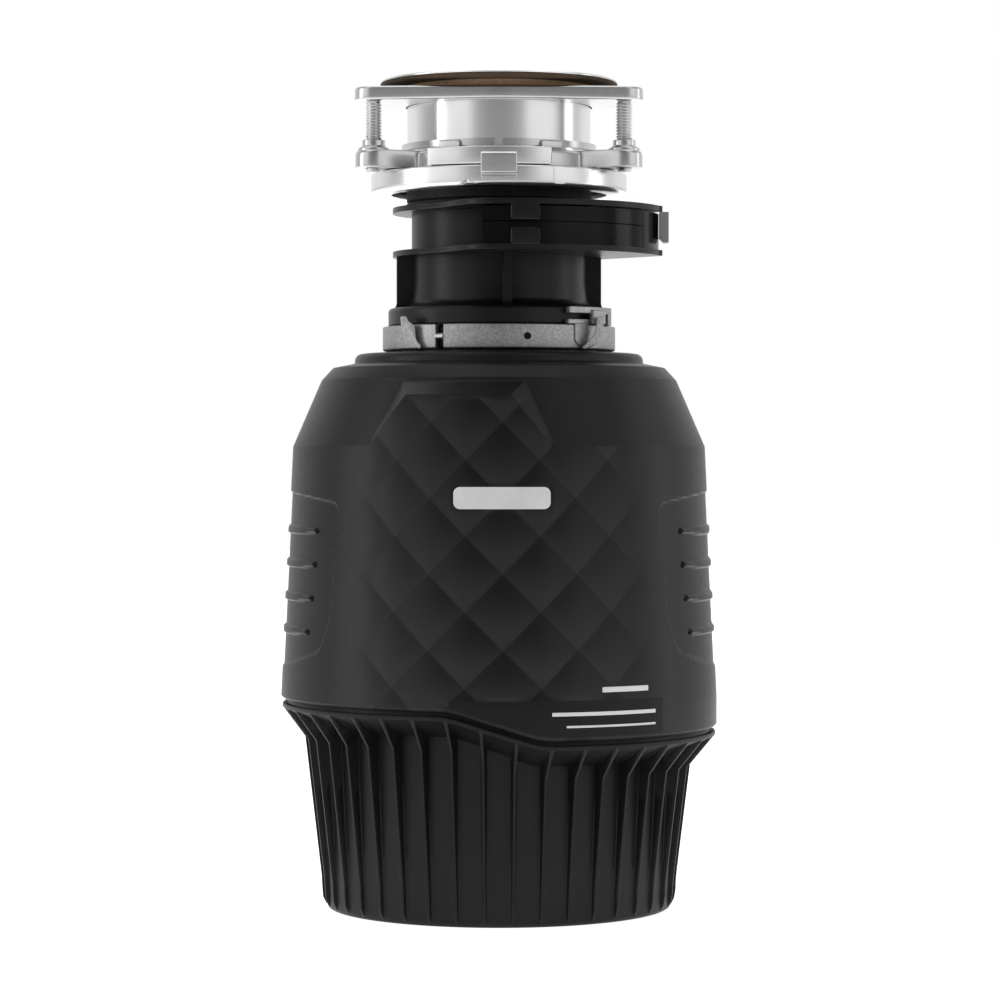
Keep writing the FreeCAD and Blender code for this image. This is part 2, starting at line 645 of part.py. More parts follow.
def make_cushion_mount():
    turned_body("cushion_mount", [
        ("cushion_bore_r", "cushion_z"),
        ("cushion_r", "cushion_z"),
        ("cushion_r", "cushion_z + 1.9"),
        ("cushion_r - 1.2", "cushion_z + 2.5"),
        ("cushion_r", "cushion_z + 3.1"),
        ("cushion_r", "cushion_lip_z"),
        ("cushion_lip_r", "cushion_lip_z"),
        ("cushion_lip_r", "cushion_lip_top_z"),
        ("ears_bore_r - 0.2", "cushion_lip_top_z"),
        ("ears_bore_r - 0.2", "cushion_top_z"),
        ("cushion_bore_r", "cushion_top_z"),
    ])


def make_cover_seal():
    tube_body("cover_seal", "plug_groove_r + seal_gap", "plug_seal_r",
              "plug_seal_z", "plug_seal_top_z")


def make_cover_plug():
    body = turned_body("cover_plug", [
        ("0", "plug_top_z - plug_wall"),
        ("plug_r - plug_wall - 4", "plug_top_z - plug_wall"),
        ("plug_r - plug_wall - 4", "plug_z"),
        ("plug_r - 1.0", "plug_z"),
        ("plug_r", "plug_z + 1.0"),
        ("plug_r", "plug_seal_z - seal_gap"),
        ("plug_groove_r", "plug_seal_z - seal_gap"),
        ("plug_groove_r", "plug_seal_top_z + seal_gap"),
        ("plug_r", "plug_seal_top_z + seal_gap"),
        ("plug_r", "plug_top_z - 1.5", "left", "1.5"),
        ("plug_r - 1.5", "plug_top_z"),
        ("0", "plug_top_z"),
    ])
    for name, side in (("left", "0 - magnet_at"), ("right", "magnet_at")):
        stud(body, "cover_plug_cup_" + name, side, "0", "magnet_r + 1.6",
             "plug_top_z - plug_wall - magnet_height", "magnet_height + 0.5")
        drill(body, "cover_plug_pocket_" + name, side, "0", "magnet_r",
              "plug_top_z - plug_wall - magnet_height", "magnet_height + magnet_height")


def make_cover_handle():
    body = new_body("cover_handle")
    slab(body, "cover_handle_grip", [
        ("0 - handle_half", "0 - handle_width"),
        ("handle_half", "0 - handle_width", "left", "handle_width"),
        ("handle_half + handle_width", "0", "left", "handle_width"),
        ("handle_half", "handle_width"),
        ("0 - handle_half", "handle_width", "left", "handle_width"),
        ("0 - handle_half - handle_width", "0", "left", "handle_width"),
    ], "plug_top_z", "handle_top_z - plug_top_z")
    slab_cut(body, "cover_handle_waist", box_outline(
        "0 - handle_half + 8", "handle_half - 8", "plug_top_z + 2", "handle_top_z - 3"),
        "handle_width", "handle_width", "XZ_Plane")
    slab_cut(body, "cover_handle_back_waist", box_outline(
        "0 - handle_half + 8", "handle_half - 8", "plug_top_z + 2", "handle_top_z - 3"),
        "0 - handle_width", "handle_width", "XZ_Plane")


def make_cover_magnets():
    body = new_body("cover_magnets")
    for name, side in (("left", "0 - magnet_at"), ("right", "magnet_at")):
        stud(body, "cover_magnet_" + name, side, "0", "magnet_r",
             "plug_top_z - plug_wall - magnet_height", "magnet_height")


# ------------------------------------------------------------ throat and decks

def deck_outline():
    """Deck round the throat with a wing to the front right for the sensor housing."""
    return [
        ("0 - 27.0", "0 - 43.1"),
        ("0 - 14.0", "0 - 66.5", "left", "12.0"),
        ("0 - 5.5", "0 - 73.2", "left", "wing_r"),
        ("76.0", "0 - 22.2", "left", "4.0"),
        ("77.0", "0 - 17.0"),
        ("49.4", "12.2", "left", "deck_r"),
        ("0 - 32.7", "39.0", "left", "deck_r"),
    ]


def make_throat_neck():
    body = turned_body("throat_neck", [
        ("throat_bore_r", "neck_gasket_top_z"),
        ("throat_lip_r", "neck_gasket_top_z"),
        ("throat_lip_r", "throat_lip_z"),
        ("throat_lip_r - 3", "throat_lip_z"),
        ("throat_lip_r - 3", "throat_flange_z"),
        ("throat_flange_r", "throat_flange_z"),
        ("throat_flange_r", "throat_flange_top_z - flange_round", "left", "flange_round"),
        ("throat_flange_r - flange_round", "throat_flange_top_z"),
        ("throat_r", "throat_flange_top_z"),
        ("throat_r", "cushion_z"),
        ("throat_bore_r", "cushion_z"),
    ])
    for name, level in (("low", "deck_low_z"), ("high", "deck_high_z")):
        slab(body, "throat_neck_deck_" + name, deck_outline(), level, "deck_thick")
    for name, turn in (("front", -85.0), ("right", 5.0), ("left", 185.0)):
        sketch = new_sketch(body, "throat_neck_fin_" + name + "_outline", "XZ_Plane", "0", turn)
        draw_outline(sketch, [
            ("throat_r - 1.0", "throat_flange_top_z - 1.0"),
            ("fin_r + 3.0", "throat_flange_top_z - 1.0", "right", "4.0"),
            ("fin_r", "throat_flange_top_z + 3.0"),
            ("fin_r", "deck_low_z + 0.5"),
            ("throat_r - 1.0", "deck_low_z + 0.5"),
        ])
        pad(body, sketch, "throat_neck_fin_" + name, "fin_width", True)
    stud(body, "throat_neck_inlet", "0", "inlet_z", "inlet_r", "0 - inlet_y",
         "inlet_y - throat_r + 2.0", "XZ_Plane")
    stud(body, "throat_neck_inlet_root", "0", "inlet_z", "inlet_root_r", "0 - inlet_root_y",
         "inlet_root_y - throat_r + 2.0", "XZ_Plane")
    drill(body, "throat_neck_inlet_bore", "0", "inlet_z", "inlet_bore_r", "0 - inlet_y",
          "inlet_y - throat_bore_r + inlet_y - throat_bore_r + 4.0", "XZ_Plane")
    drill(body, "throat_neck_bore", "0", "0", "throat_bore_r", "inlet_z", "200")


def make_inlet_plug():
    """Knock-out that closes the dishwasher inlet until it is used."""
    body = new_body("dishwasher_knockout")
    stud(body, "dishwasher_knockout_disc", "0", "inlet_z", "inlet_bore_r",
         "0 - knockout_y", "knockout_thick", "XZ_Plane")


def module_outline(inset, left, right):
    """Plan of the sensor housing between two x positions, inset from its outer faces."""
    outer = value_of("module_r") - inset
    inner = value_of("module_in_r") + inset
    centre = value_of("wing_x")

    def outer_y(across):
        return -math.sqrt(outer ** 2 - (across - centre) ** 2)

    inner_turn = math.radians(2.0 + inset if right > 70 else -24.0 - inset)
    inner_end = (inner * math.cos(inner_turn), inner * math.sin(inner_turn))
    start = (left, outer_y(left))
    if left > 0:
        start_turn = math.radians(-24.0 + inset)
        inner_start = (inner * math.cos(start_turn), inner * math.sin(start_turn))
    else:
        inner_start = (left, -math.sqrt(inner ** 2 - left ** 2))
    corners = [start, (right, outer_y(right)), inner_end, inner_start]
    points = [("%.4f" % across, "%.4f" % up) for across, up in corners]
    points[0] += ("left", "%.4f" % outer)
    points[2] += ("right", "%.4f" % inner)
    return points


def make_sensor_housing():
    """Upper and lower half of the housing, each with its half of the clip."""
    left = value_of("module_left_x")
    right = value_of("module_right_x")
    wall = value_of("module_wall")
    halves = (
        ("sensor_housing_lower", "module_z", "module_split_z - module_gap", "module_wall",
         "module_z", "module_split_z - 1.5"),
        ("sensor_housing_upper", "module_split_z + module_gap", "module_top_z", "0",
         "module_split_z + 1.5", "module_top_z"),
    )
    for label, low, high, floor, clip_low, clip_high in halves:
        body = new_body(label)
        slab(body, label + "_block", module_outline(0.0, left, right), low, high + " " + minus(low))
        inner_low = low + " + " + floor
        inner_high = high if floor != "0" else high + " - module_wall"
        middle = value_of(inner_low) + value_of(inner_high)
        slab_cut(body, label + "_hollow", module_outline(wall, left + wall, right - wall),
                 "%.3f" % (middle / 2), inner_high + " " + minus(inner_low))
        slab(body, label + "_clip", [
            ("clip_x - clip_half", "0 - module_r + 1.5"),
            ("clip_x - clip_half", "0 - module_r - 1.2"),
            ("clip_x + clip_half", "0 - module_r - 1.2"),
            ("clip_x + clip_half", "0 - module_r + 1.5"),
        ], clip_low, clip_high + " " + minus(clip_low))


def make_sensor_end_cap():
    body = new_body("sensor_end_cap")
    left = value_of("module_right_x") + value_of("module_gap")
    slab(body, "sensor_end_cap_block", module_outline(0.0, left, value_of("cap_right_x")),
         "module_z", "module_top_z - module_z")


def make_sensor_latch_tab():
    body = new_body("sensor_latch_tab")
    slab(body, "sensor_latch_tab_plate", [
        ("latch_x", "module_z + 5.5"),
        ("latch_x + 2.0", "module_z + 3.5"),
        ("latch_out_x", "module_z + 3.5"),
        ("latch_out_x", "module_top_z + 0.5"),
        ("latch_x", "module_top_z + 0.5"),
    ], "11.5", "9.0", "XZ_Plane")


def make_sensor_board():
    body = new_body("sensor_board")
    slab(body, "sensor_board_plate", box_outline("10", "44", "0 - 56", "0 - 48"),
         "module_split_z", "1.6")


# ------------------------------------------------------------------ clamp ring

def make_neck_clamp_ring():
    """Split band that holds the throat on the grind chamber, with its two lugs."""
    body = turned_body("neck_clamp_ring", [
        ("clamp_r - clamp_wall - 2.0", "clamp_z"),
        ("clamp_r", "clamp_z"),
        ("clamp_r", "clamp_top_z"),
        ("clamp_r - clamp_wall - 2.0", "clamp_top_z"),
        ("clamp_r - clamp_wall - 2.0", "clamp_top_z - 1.0"),
        ("clamp_r - clamp_wall", "clamp_top_z - 1.0"),
        ("clamp_r - clamp_wall", "clamp_z + 1.1"),
        ("clamp_r - clamp_wall - 2.0", "clamp_z + 1.1"),
    ])
    lugs = (("left", -53.0, 8.0, 6.0, 17.0), ("right", 57.0, 7.0, 7.0, 17.4))
    for name, angle, reach, width, height in lugs:
        lug = new_sketch(body, "neck_clamp_ring_lug_" + name + "_outline", "XZ_Plane", "0",
                         angle - 90.0)
        base = value_of("clamp_r")
        draw_outline(lug, [
            ("%.3f" % (base - 1.5), "clamp_z + 1.1"),
            ("%.3f" % (base + 1.5), "clamp_z + 1.1"),
            ("%.3f" % (base + 0.5 * reach), "clamp_z + %.2f" % (0.5 * height)),
            ("%.3f" % (base + reach), "clamp_z + %.2f" % height),
            ("%.3f" % (base + reach - 2.0), "clamp_z + %.2f" % height),
            ("%.3f" % (base - 1.5), "clamp_top_z - 1.0"),
        ])
        pad(body, lug, "neck_clamp_ring_lug_" + name, "%.2f" % width, True)
    gap = new_sketch(body, "neck_clamp_ring_gap_outline", "XZ_Plane", "0",
                     value_of("clamp_gap_at") - 90.0)
    draw_outline(gap, box_outline("clamp_r - 12", "clamp_r + 4", "clamp_z - 2", "clamp_top_z + 2"))
    pocket(body, gap, "neck_clamp_ring_gap", "clamp_gap")
    drill(body, "neck_clamp_ring_hole", "clamp_hole_x", "clamp_mid_z",
          "clamp_hole_r", "clamp_r - 1.5", "8", "XZ_Plane")


def make_clamp_pin():
    """Draw pin across the split of the clamp ring."""
    body = new_body("clamp_draw_pin")
    sketch = new_sketch(body, "clamp_draw_pin_circle", "YZ_Plane")
    draw_circle(sketch, "0 - clamp_pin_at", "clamp_mid_z", "clamp_pin_r")
    pad(body, sketch, "clamp_draw_pin_shank", "clamp_gap", True)
    about_z = FreeCAD.Rotation(FreeCAD.Vector(0, 0, 1), value_of("clamp_gap_at"))
    body.Placement = FreeCAD.Placement(FreeCAD.Vector(0, 0, 0), about_z)


# ------------------------------------------------- chamber, drain and grinding

def make_neck_gasket():
    tube_body("neck_gasket", "throat_bore_r + 2.4", "chamber_lip_r",
              "chamber_top_z", "neck_gasket_top_z")


def make_grind_chamber():
    turned_body("grind_chamber", [
        ("chamber_r - chamber_wall", "drain_top_z + 0.4"),
        ("chamber_r", "drain_top_z + 0.4"),
        ("chamber_r", "chamber_shoulder_z"),
        ("chamber_neck_r + 4.0", "chamber_neck_z"),
        ("chamber_neck_r", "chamber_neck_z + 3.0"),
        ("chamber_neck_r", "chamber_lip_z"),
        ("chamber_lip_r", "chamber_lip_z"),
        ("chamber_lip_r", "chamber_top_z"),
        ("chamber_neck_r - chamber_wall", "chamber_top_z"),
        ("chamber_neck_r - chamber_wall", "chamber_neck_z + 2.0"),
        ("chamber_neck_r + 2.6", "chamber_neck_z - 2.6"),
        ("chamber_r - chamber_wall", "chamber_shoulder_z - 1.2"),
    ])


def make_grind_ring():
    body = tube_body("grind_ring", "ring_in_r", "ring_r", "drain_top_z + 0.4", "ring_top_z")
    notch = slab_cut(body, "grind_ring_notch", box_outline(
        "ring_in_r - 1.0", "ring_in_r + notch_depth", "0 - notch_half", "notch_half"),
        "notch_z", "notch_length")
    repeat_round(body, [notch], "grind_ring_notches", 24)


def make_drain_housing():
    """Cast bowl under the shredder plate, with its bearing hub and rear outlet."""
    body = turned_body("drain_housing", [
        ("bearing_r", "bell_z"),
        ("drain_r", "bell_z"),
        ("drain_r", "drain_top_z"),
        ("drain_in_r", "drain_top_z"),
        ("drain_in_r", "drain_floor_z"),
        ("hub_r", "drain_floor_z"),
        ("hub_r", "seal_top_z"),
        ("bearing_r", "seal_top_z"),
    ])
    relief = new_sketch(body, "drain_housing_relief_outline", "XZ_Plane")
    draw_outline(relief, box_outline("hub_r", "drain_in_r - 6.0", "bell_z - 1", "drain_floor_z - 4.0"))
    revolve(body, relief, "drain_housing_relief", kind="PartDesign::Groove")
    stud(body, "drain_housing_outlet", "0", "outlet_z", "outlet_r + outlet_wall",
         "0 - outlet_face_y", "outlet_face_y - drain_in_r + 2.0", "XZ_Plane")
    slab(body, "drain_housing_flange", flange_outline("0"), "0 - outlet_face_y", "6.0",
         "XZ_Plane")
    drill(body, "drain_housing_bore", "0", "outlet_z", "outlet_r", "0 - outlet_face_y",
          "60", "XZ_Plane")
    for name, side in (("left", "0 - outlet_bolt_x"), ("right", "outlet_bolt_x")):
        drill(body, "drain_housing_tapped_" + name, side, "outlet_z", "outlet_bolt_r",
              "0 - outlet_face_y", "20", "XZ_Plane")
    hole = drill(body, "drain_housing_bolt_hole", "bolt_circle_r", "0", "bolt_r",
                 "bell_z", "14")
    repeat_round(body, [hole], "drain_housing_bolt_holes", 4)


def flange_outline(grow):
    """Rounded oblong of the discharge flange, grown by a margin."""
    half_x = "outlet_half_x + " + grow
    low = "outlet_z - outlet_half_z " + minus(grow)
    high = "outlet_z + outlet_half_z + " + grow
    waist = "outlet_half_x - 14"
    side_low = "outlet_z - 11"
    side_high = "outlet_z + 11"
    return [
        ("0 - outlet_half_x + 14", low),
        (waist, low),
        (half_x, side_low),
        (half_x, side_high),
        (waist, high),
        ("0 - outlet_half_x + 14", high),
        (minus(half_x), side_high),
        (minus(half_x), side_low),
    ]


def make_discharge_parts():
    """Gasket, flange and bolts that hold the waste pipe on the outlet."""
    faces = (
        ("discharge_gasket", "outlet_face_y + outlet_gasket", "outlet_gasket"),
        ("discharge_flange", "outlet_face_y + outlet_gasket + outlet_flange", "outlet_flange"),
    )
    for label, back, thick in faces:
        body = new_body(label)
        slab(body, label + "_plate", flange_outline("0"), minus(back),
             thick, "XZ_Plane")
        drill(body, label + "_bore", "0", "outlet_z", "outlet_r", "0 - outlet_face_y",
              "60", "XZ_Plane")
        for name, side in (("left", "0 - outlet_bolt_x"), ("right", "outlet_bolt_x")):
            drill(body, label + "_hole_" + name, side, "outlet_z", "outlet_bolt_hole_r",
                  "0 - outlet_face_y", "60", "XZ_Plane")
    bolts = new_body("discharge_bolts")
    head_face = "0 - outlet_face_y - outlet_gasket - outlet_flange"
    for name, side in (("left", "0 - outlet_bolt_x"), ("right", "outlet_bolt_x")):
        stud(bolts, "discharge_bolt_shank_" + name, side, "outlet_z", "outlet_bolt_r",
             head_face + " - 0.5", "outlet_flange + outlet_gasket + 6.5", "XZ_Plane")
        stud(bolts, "discharge_bolt_head_" + name, side, "outlet_z", "outlet_bolt_r + 2.5",
             head_face + " - 4.0", "4.0", "XZ_Plane")
        drill(bolts, "discharge_bolt_socket_" + name, side, "outlet_z", "1.6",
              head_face + " - 4.0", "5.0", "XZ_Plane")


def make_shredder_plate():
    body = turned_body("shredder_plate", [
        ("shaft_r", "plate_z"),
        ("plate_r", "plate_z"),
        ("plate_r", "plate_top_z"),
        ("shaft_r", "plate_top_z"),
    ])
    hole = drill(body, "shredder_plate_drain", "drain_hole_at", "0", "drain_hole_r",
                 "plate_z", "20")
    repeat_round(body, [hole], "shredder_plate_drains", 12)
    for name, side in (("front", "0 - lug_pivot_r"), ("rear", "lug_pivot_r")):
        drill(body, "shredder_plate_rivet_" + name, "0", side, "rivet_r", "plate_z", "20")


def make_swivel_lug(label, side):
    """Loose hammer on the shredder plate, free to swing round its rivet."""
    body = new_body(label)
    slab(body, label + "_block", [
        ("0 - lug_tail", "0 - lug_half"),
        ("lug_reach", "0 - lug_half"),
        ("lug_reach", "lug_half"),
        ("0 - lug_tail", "lug_half", "left", "lug_tail"),
    ], "plate_top_z + lug_gap", "lug_height")
    slab_cut(body, label + "_step", box_outline("9.5", "lug_reach + 1", "0 - 9", "9"),
             "plate_top_z + lug_gap + lug_height", "10")
    drill(body, label + "_bore", "0", "0", "rivet_r + 0.1", "plate_top_z", "60")
    outward = FreeCAD.Rotation(FreeCAD.Vector(0, 0, 1), side * 90.0)
    pivot = FreeCAD.Vector(0, side * value_of("lug_pivot_r"), 0)
    body.Placement = FreeCAD.Placement(pivot, outward)


def make_lug_rivets():
    body = new_body("lug_rivets")
    for name, side in (("front", "0 - lug_pivot_r"), ("rear", "lug_pivot_r")):
        stud(body, "lug_rivet_shank_" + name, "0", side, "rivet_r", "plate_z - 0.5",
             "lug_height + 4.7")
        stud(body, "lug_rivet_head_" + name, "0", side, "rivet_head_r",
             "plate_top_z + lug_gap + lug_height + 0.3", "2.6")
        stud(body, "lug_rivet_tail_" + name, "0", side, "rivet_head_r",
             "plate_z - 2.2", "2.2")


def make_plate_nut():
    turned_body("plate_nut", [
        ("0", "plate_top_z"),
        ("nut_r", "plate_top_z"),
        ("nut_r", "plate_top_z + nut_foot"),
        ("nut_top_r", "plate_top_z + nut_height"),
        ("0", "plate_top_z + nut_height"),
    ])


def make_shaft_seal():
    tube_body("shaft_seal", "shaft_r + shaft_fit", "bearing_r", "up_bearing_top_z", "seal_top_z")


def make_water_slinger():
    turned_body("water_slinger", [
        ("shaft_r", "seal_top_z + 1.0"),
        ("hub_r + 4.0", "seal_top_z + 1.0"),
        ("hub_r + 4.0", "seal_top_z + 3.0"),
        ("12.0", "seal_top_z + 8.0"),
        ("shaft_r", "seal_top_z + 8.0"),
    ])


# ----------------------------------------------------------------------- motor

def make_motor_shaft():
    tube_body("motor_shaft", "0", "shaft_r", "shaft_foot_z", "plate_top_z")


def make_rotor_core():
    body = tube_body("rotor_core", "shaft_r", "rotor_r", "rotor_z", "rotor_top_z")
    slot = drill(body, "rotor_core_slot", "rotor_slot_at", "0", "rotor_slot_r",
                 "rotor_z", "200")
    repeat_round(body, [slot], "rotor_core_slots", 16)


def make_stator_core():
    body = tube_body("stator_core", "stator_in_r", "stator_r", "stator_z", "stator_top_z")
    slot = slab_cut(body, "stator_core_slot", box_outline(
        "stator_slot_in_r", "stator_slot_r", "0 - stator_slot_half", "stator_slot_half"),
                    "stator_z", "200")
    repeat_round(body, [slot], "stator_core_slots", 24)


def make_stator_windings():
    body = new_body("stator_windings")
    turns = (("low", "winding_z", "stator_z"), ("high", "stator_top_z", "winding_top_z"))
    for name, low, high in turns:
        sketch = new_sketch(body, "stator_windings_" + name + "_outline", "XZ_Plane")
        draw_outline(sketch, [
            ("winding_in_r", low),
            ("winding_r", low),
            ("winding_r", high),
            ("winding_in_r", high),
        ])
        revolve(body, sketch, "stator_windings_" + name)


def make_motor_shroud():
    tube_body("motor_shroud", "shroud_in_r", "shroud_r", "end_frame_top_z", "bell_z")


def make_bearings():
    tube_body("upper_bearing", "shaft_r + shaft_fit", "bearing_r", "bell_z", "up_bearing_top_z")
    tube_body("lower_bearing", "shaft_r + shaft_fit", "bearing_r", "low_bearing_z",
              "low_bearing_top_z")


def make_lower_end_frame():
    body = turned_body("lower_end_frame", [
        ("bearing_r", "low_bearing_z"),
        ("hub_r", "low_bearing_z"),
        ("hub_r", "end_frame_z"),
        ("end_frame_r", "end_frame_z"),
        ("end_frame_r", "end_frame_top_z"),
        ("hub_r", "end_frame_top_z"),
        ("hub_r", "low_bearing_top_z"),
        ("bearing_r", "low_bearing_top_z"),
    ])
    hole = drill(body, "lower_end_frame_hole", "bolt_circle_r", "0", "bolt_r", "end_frame_z", "20")
    repeat_round(body, [hole], "lower_end_frame_holes", 4)
    vent = drill(body, "lower_end_frame_vent", "48.0", "16.0", "7.0", "end_frame_z", "20")
    repeat_round(body, [vent], "lower_end_frame_vents", 6)


def make_through_bolts():
    """Four long bolts that draw the motor together."""
    body = new_body("through_bolts")
    shank = stud(body, "through_bolt_shank", "bolt_circle_r", "0", "bolt_r",
                 "end_frame_z - 0.5", "bell_z - end_frame_z + 7.5")
    head = stud(body, "through_bolt_head", "bolt_circle_r", "0", "bolt_r + 2.0",
                "end_frame_z - 4.0", "4.0")
    repeat_round(body, [shank, head], "through_bolt_set", 4)


# -------------------------------------------------- electrical parts and hatch

def make_reset_button():
    body = tube_body("reset_button", "0", "button_r", "button_z", "button_top_z")
    body.setExpression("Placement.Base.x", bound("button_x"))
    body.setExpression("Placement.Base.y", bound("button_y"))


def make_overload_protector():
    body = new_body("overload_protector")
    slab(body, "overload_protector_block", box_outline("0 - 13", "13", "0 - 10", "10"),
         "breaker_z", "breaker_top_z - breaker_z")
    drill(body, "overload_protector_bore", "0", "0", "button_hole_r", "breaker_z", "16")
    body.setExpression("Placement.Base.x", bound("button_x"))
    body.setExpression("Placement.Base.y", bound("button_y"))


def make_start_relay():
    body = new_body("start_relay")
    slab(body, "start_relay_block", box_outline("0 - 15", "15", "0 - 11", "11"),
         "floor_top_z", "14.0")
    body.setExpression("Placement.Base.x", bound("relay_x"))
    body.setExpression("Placement.Base.y", bound("relay_y"))


def make_terminal_cover():
    body = new_body("terminal_cover")
    slab(body, "terminal_cover_plate", box_outline(
        "0 - hatch_half_x", "hatch_half_x", "0 - hatch_half_y", "hatch_half_y"),
         "floor_z - hatch_thick", "hatch_thick")
    drill(body, "terminal_cover_hole", "hatch_screw_at", "0", "hatch_screw_r", "floor_z", "20")
    body.setExpression("Placement.Base.x", bound("hatch_x"))
    body.setExpression("Placement.Base.y", bound("hatch_y"))
    screw = new_body("terminal_cover_screw")
    stud(screw, "terminal_cover_screw_shank", "hatch_screw_at", "0", "hatch_screw_r",
         "floor_z - hatch_thick - 0.2", "floor_top_z - floor_z + hatch_thick")
    stud(screw, "terminal_cover_screw_head", "hatch_screw_at", "0", "hatch_screw_r + 1.8",
         "floor_z - hatch_thick - 1.2", "1.2")
    screw.setExpression("Placement.Base.x", bound("hatch_x"))
    screw.setExpression("Placement.Base.y", bound("hatch_y"))


# -------------------------------------------------------------- shell and base

def make_sound_insulation():
    turned_body("sound_insulation", [
        ("chamber_r + 0.3", "outlet_z + outlet_half_z + 2.0"),
        ("crease_r - shell_wall - 1.0", "outlet_z + outlet_half_z + 2.0"),
        ("crease_r - shell_wall - 1.6", "crease_z - 2.0"),
        ("chamber_r + 6.0", "crease_z + 18.0"),
        ("chamber_r + 0.3", "crease_z + 13.0"),
    ])


def add_dormers(body):
    """Raised panels on the shoulder, one over the front and one over the back."""
    outline = new_sketch(body, "dormer_outline", "XZ_Plane", "0", value_of("dormer_at") - 90.0)
    draw_outline(outline, [
        ("crease_r - 2.0", "crease_z"),
        ("crease_r", "crease_z"),
        ("dormer_r", "dormer_z"),
        ("dormer_back_r", "dormer_back_z"),
        ("dormer_back_r - 2.2", "dormer_back_z"),
    ])
    features = [revolve(body, outline, "dormer_bulge", "dormer_span")]
    for name, sign in (("left", "0 - "), ("right", "")):
        trim = new_sketch(body, "dormer_trim_" + name + "_outline", "XZ_Plane", "0",
                          value_of("dormer_at"))
        draw_outline(trim, [
            (sign + "dormer_foot_x", "crease_z"),
            (sign + "dormer_head_x", "dormer_z"),
            (sign + "dormer_head_x", "dormer_back_z + 1"),
            (sign + "60", "dormer_back_z + 1"),
            (sign + "60", "crease_z"),
        ])
        features.append(pocket(body, trim, "dormer_trim_" + name, "220"))
    repeat_round(body, features, "dormers", 2)


def add_shell_wall(body):
    """Turned wall of the shell, from the seam over the shoulder to the crown."""
    outline = new_sketch(body, "shell_outline", "XZ_Plane")
    draw_outline(outline, [
        ("shell_r", "seam_z - wave_drop"),
        ("shell_r", "seam_bevel_z"),
        ("crease_r", "crease_z"),
        ("cone_top_r", "cone_top_z"),
        ("crown_r", "crown_z"),
        ("disc_r", "disc_z"),
        ("disc_r", "disc_edge_z", "left", "6.0"),
        ("disc_r - 4.2", "shell_top_z"),
        ("shell_hole_r", "shell_top_z"),
        ("shell_hole_r", "shell_top_z - shell_wall"),
        ("disc_r - 5.0", "shell_top_z - shell_wall"),
        ("disc_r - 2.0", "disc_z - shell_wall"),
        ("crown_r - 1.4", "crown_z - shell_wall"),
        ("cone_top_r - 2.3", "cone_top_z - 1.2"),
        ("crease_r - shell_wall", "crease_z - 0.6"),
        ("shell_r - shell_wall", "seam_bevel_z"),
        ("shell_r - shell_wall", "seam_z - wave_drop"),
    ])
    revolve(body, outline, "shell_turn")


def wall_face(level):
    """Radius of the shell's outside wall at a height."""
    rise = (level - sizes.seam_bevel_z) / (sizes.crease_z - sizes.seam_bevel_z)
    return sizes.shell_r + (sizes.crease_r - sizes.shell_r) * rise


def add_side_panels(body):
    """Recessed grip panel on each side, with its raised ridges."""
    recess = new_sketch(body, "side_panel_outline", "XZ_Plane")
    draw_outline(recess, [
        ("shell_r - 0.8 - panel_depth", "panel_low_z"),
        ("shell_r + 1.0", "panel_low_z"),
        ("shell_r + 1.0", "panel_high_z"),
        ("crease_r + 1.1 - panel_depth", "panel_high_z"),
    ])
    features = [revolve(body, recess, "side_panel", "panel_span", "PartDesign::Groove")]
    for row in range(int(sizes.ridge_count)):
        level = sizes.ridge_z + row * sizes.ridge_step
        face = wall_face(level)
        root = "%.3f" % (face - 1.8)
        edge = "%.3f" % (face - 0.6)
        top = "%.3f + ridge_rise - panel_depth" % face
        ridge = new_sketch(body, "ridge_%d_outline" % (row + 1), "XZ_Plane")
        draw_outline(ridge, [
            (root, "%.3f - ridge_half" % level),
            (edge, "%.3f - ridge_half" % level),
            (top, "%.3f - 1" % level),
            (top, "%.3f + 1" % level),
            (edge, "%.3f + ridge_half" % level),
            (root, "%.3f + ridge_half" % level),
        ])
        features.append(revolve(body, ridge, "ridge_%d" % (row + 1), "ridge_span"))
    repeat_round(body, features, "side_panels", 2)


def make_upper_shell():
    body = new_body("upper_shell")
    add_dormers(body)
    add_shell_wall(body)
    add_side_panels(body)
    slab_cut(body, "seam_wave", [
        ("0 - shell_r - 5", "seam_z"),
        ("wave_left_x", "seam_z"),
        ("wave_right_x", "seam_z - wave_drop"),
        ("wave_right_x", "seam_z - wave_drop - 5"),
        ("0 - shell_r - 5", "seam_z - wave_drop - 5"),
    ], "0", "300", "XZ_Plane")
    slab_cut(body, "discharge_window", flange_outline("outlet_window"), "0 - shell_r", "40",
             "XZ_Plane")


def sheared(shape, rate, level_x):
    """Shape pushed down by the rate for each millimetre to the right of level_x."""
    matrix = FreeCAD.Matrix()
    matrix.A31 = -rate
    matrix.A34 = rate * level_x
    return shape.transformGeometry(matrix)


def spun(points):
    """Solid of revolution from (radius, height) points."""
    corners = [FreeCAD.Vector(radius, 0, level) for radius, level in points]
    face = Part.Face(Part.makePolygon(corners + corners[:1]))
    return face.revolve(FreeCAD.Vector(0, 0, 0), FreeCAD.Vector(0, 0, 1), ROUND)


def wave_fall(across):
    """How far the seam has dropped at a distance to the right of the axis."""
    left, right, drop = sizes.wave_left_x, sizes.wave_right_x, sizes.wave_drop
    share = min(max((across - left) / (right - left), 0.0), 1.0)
    return share * drop


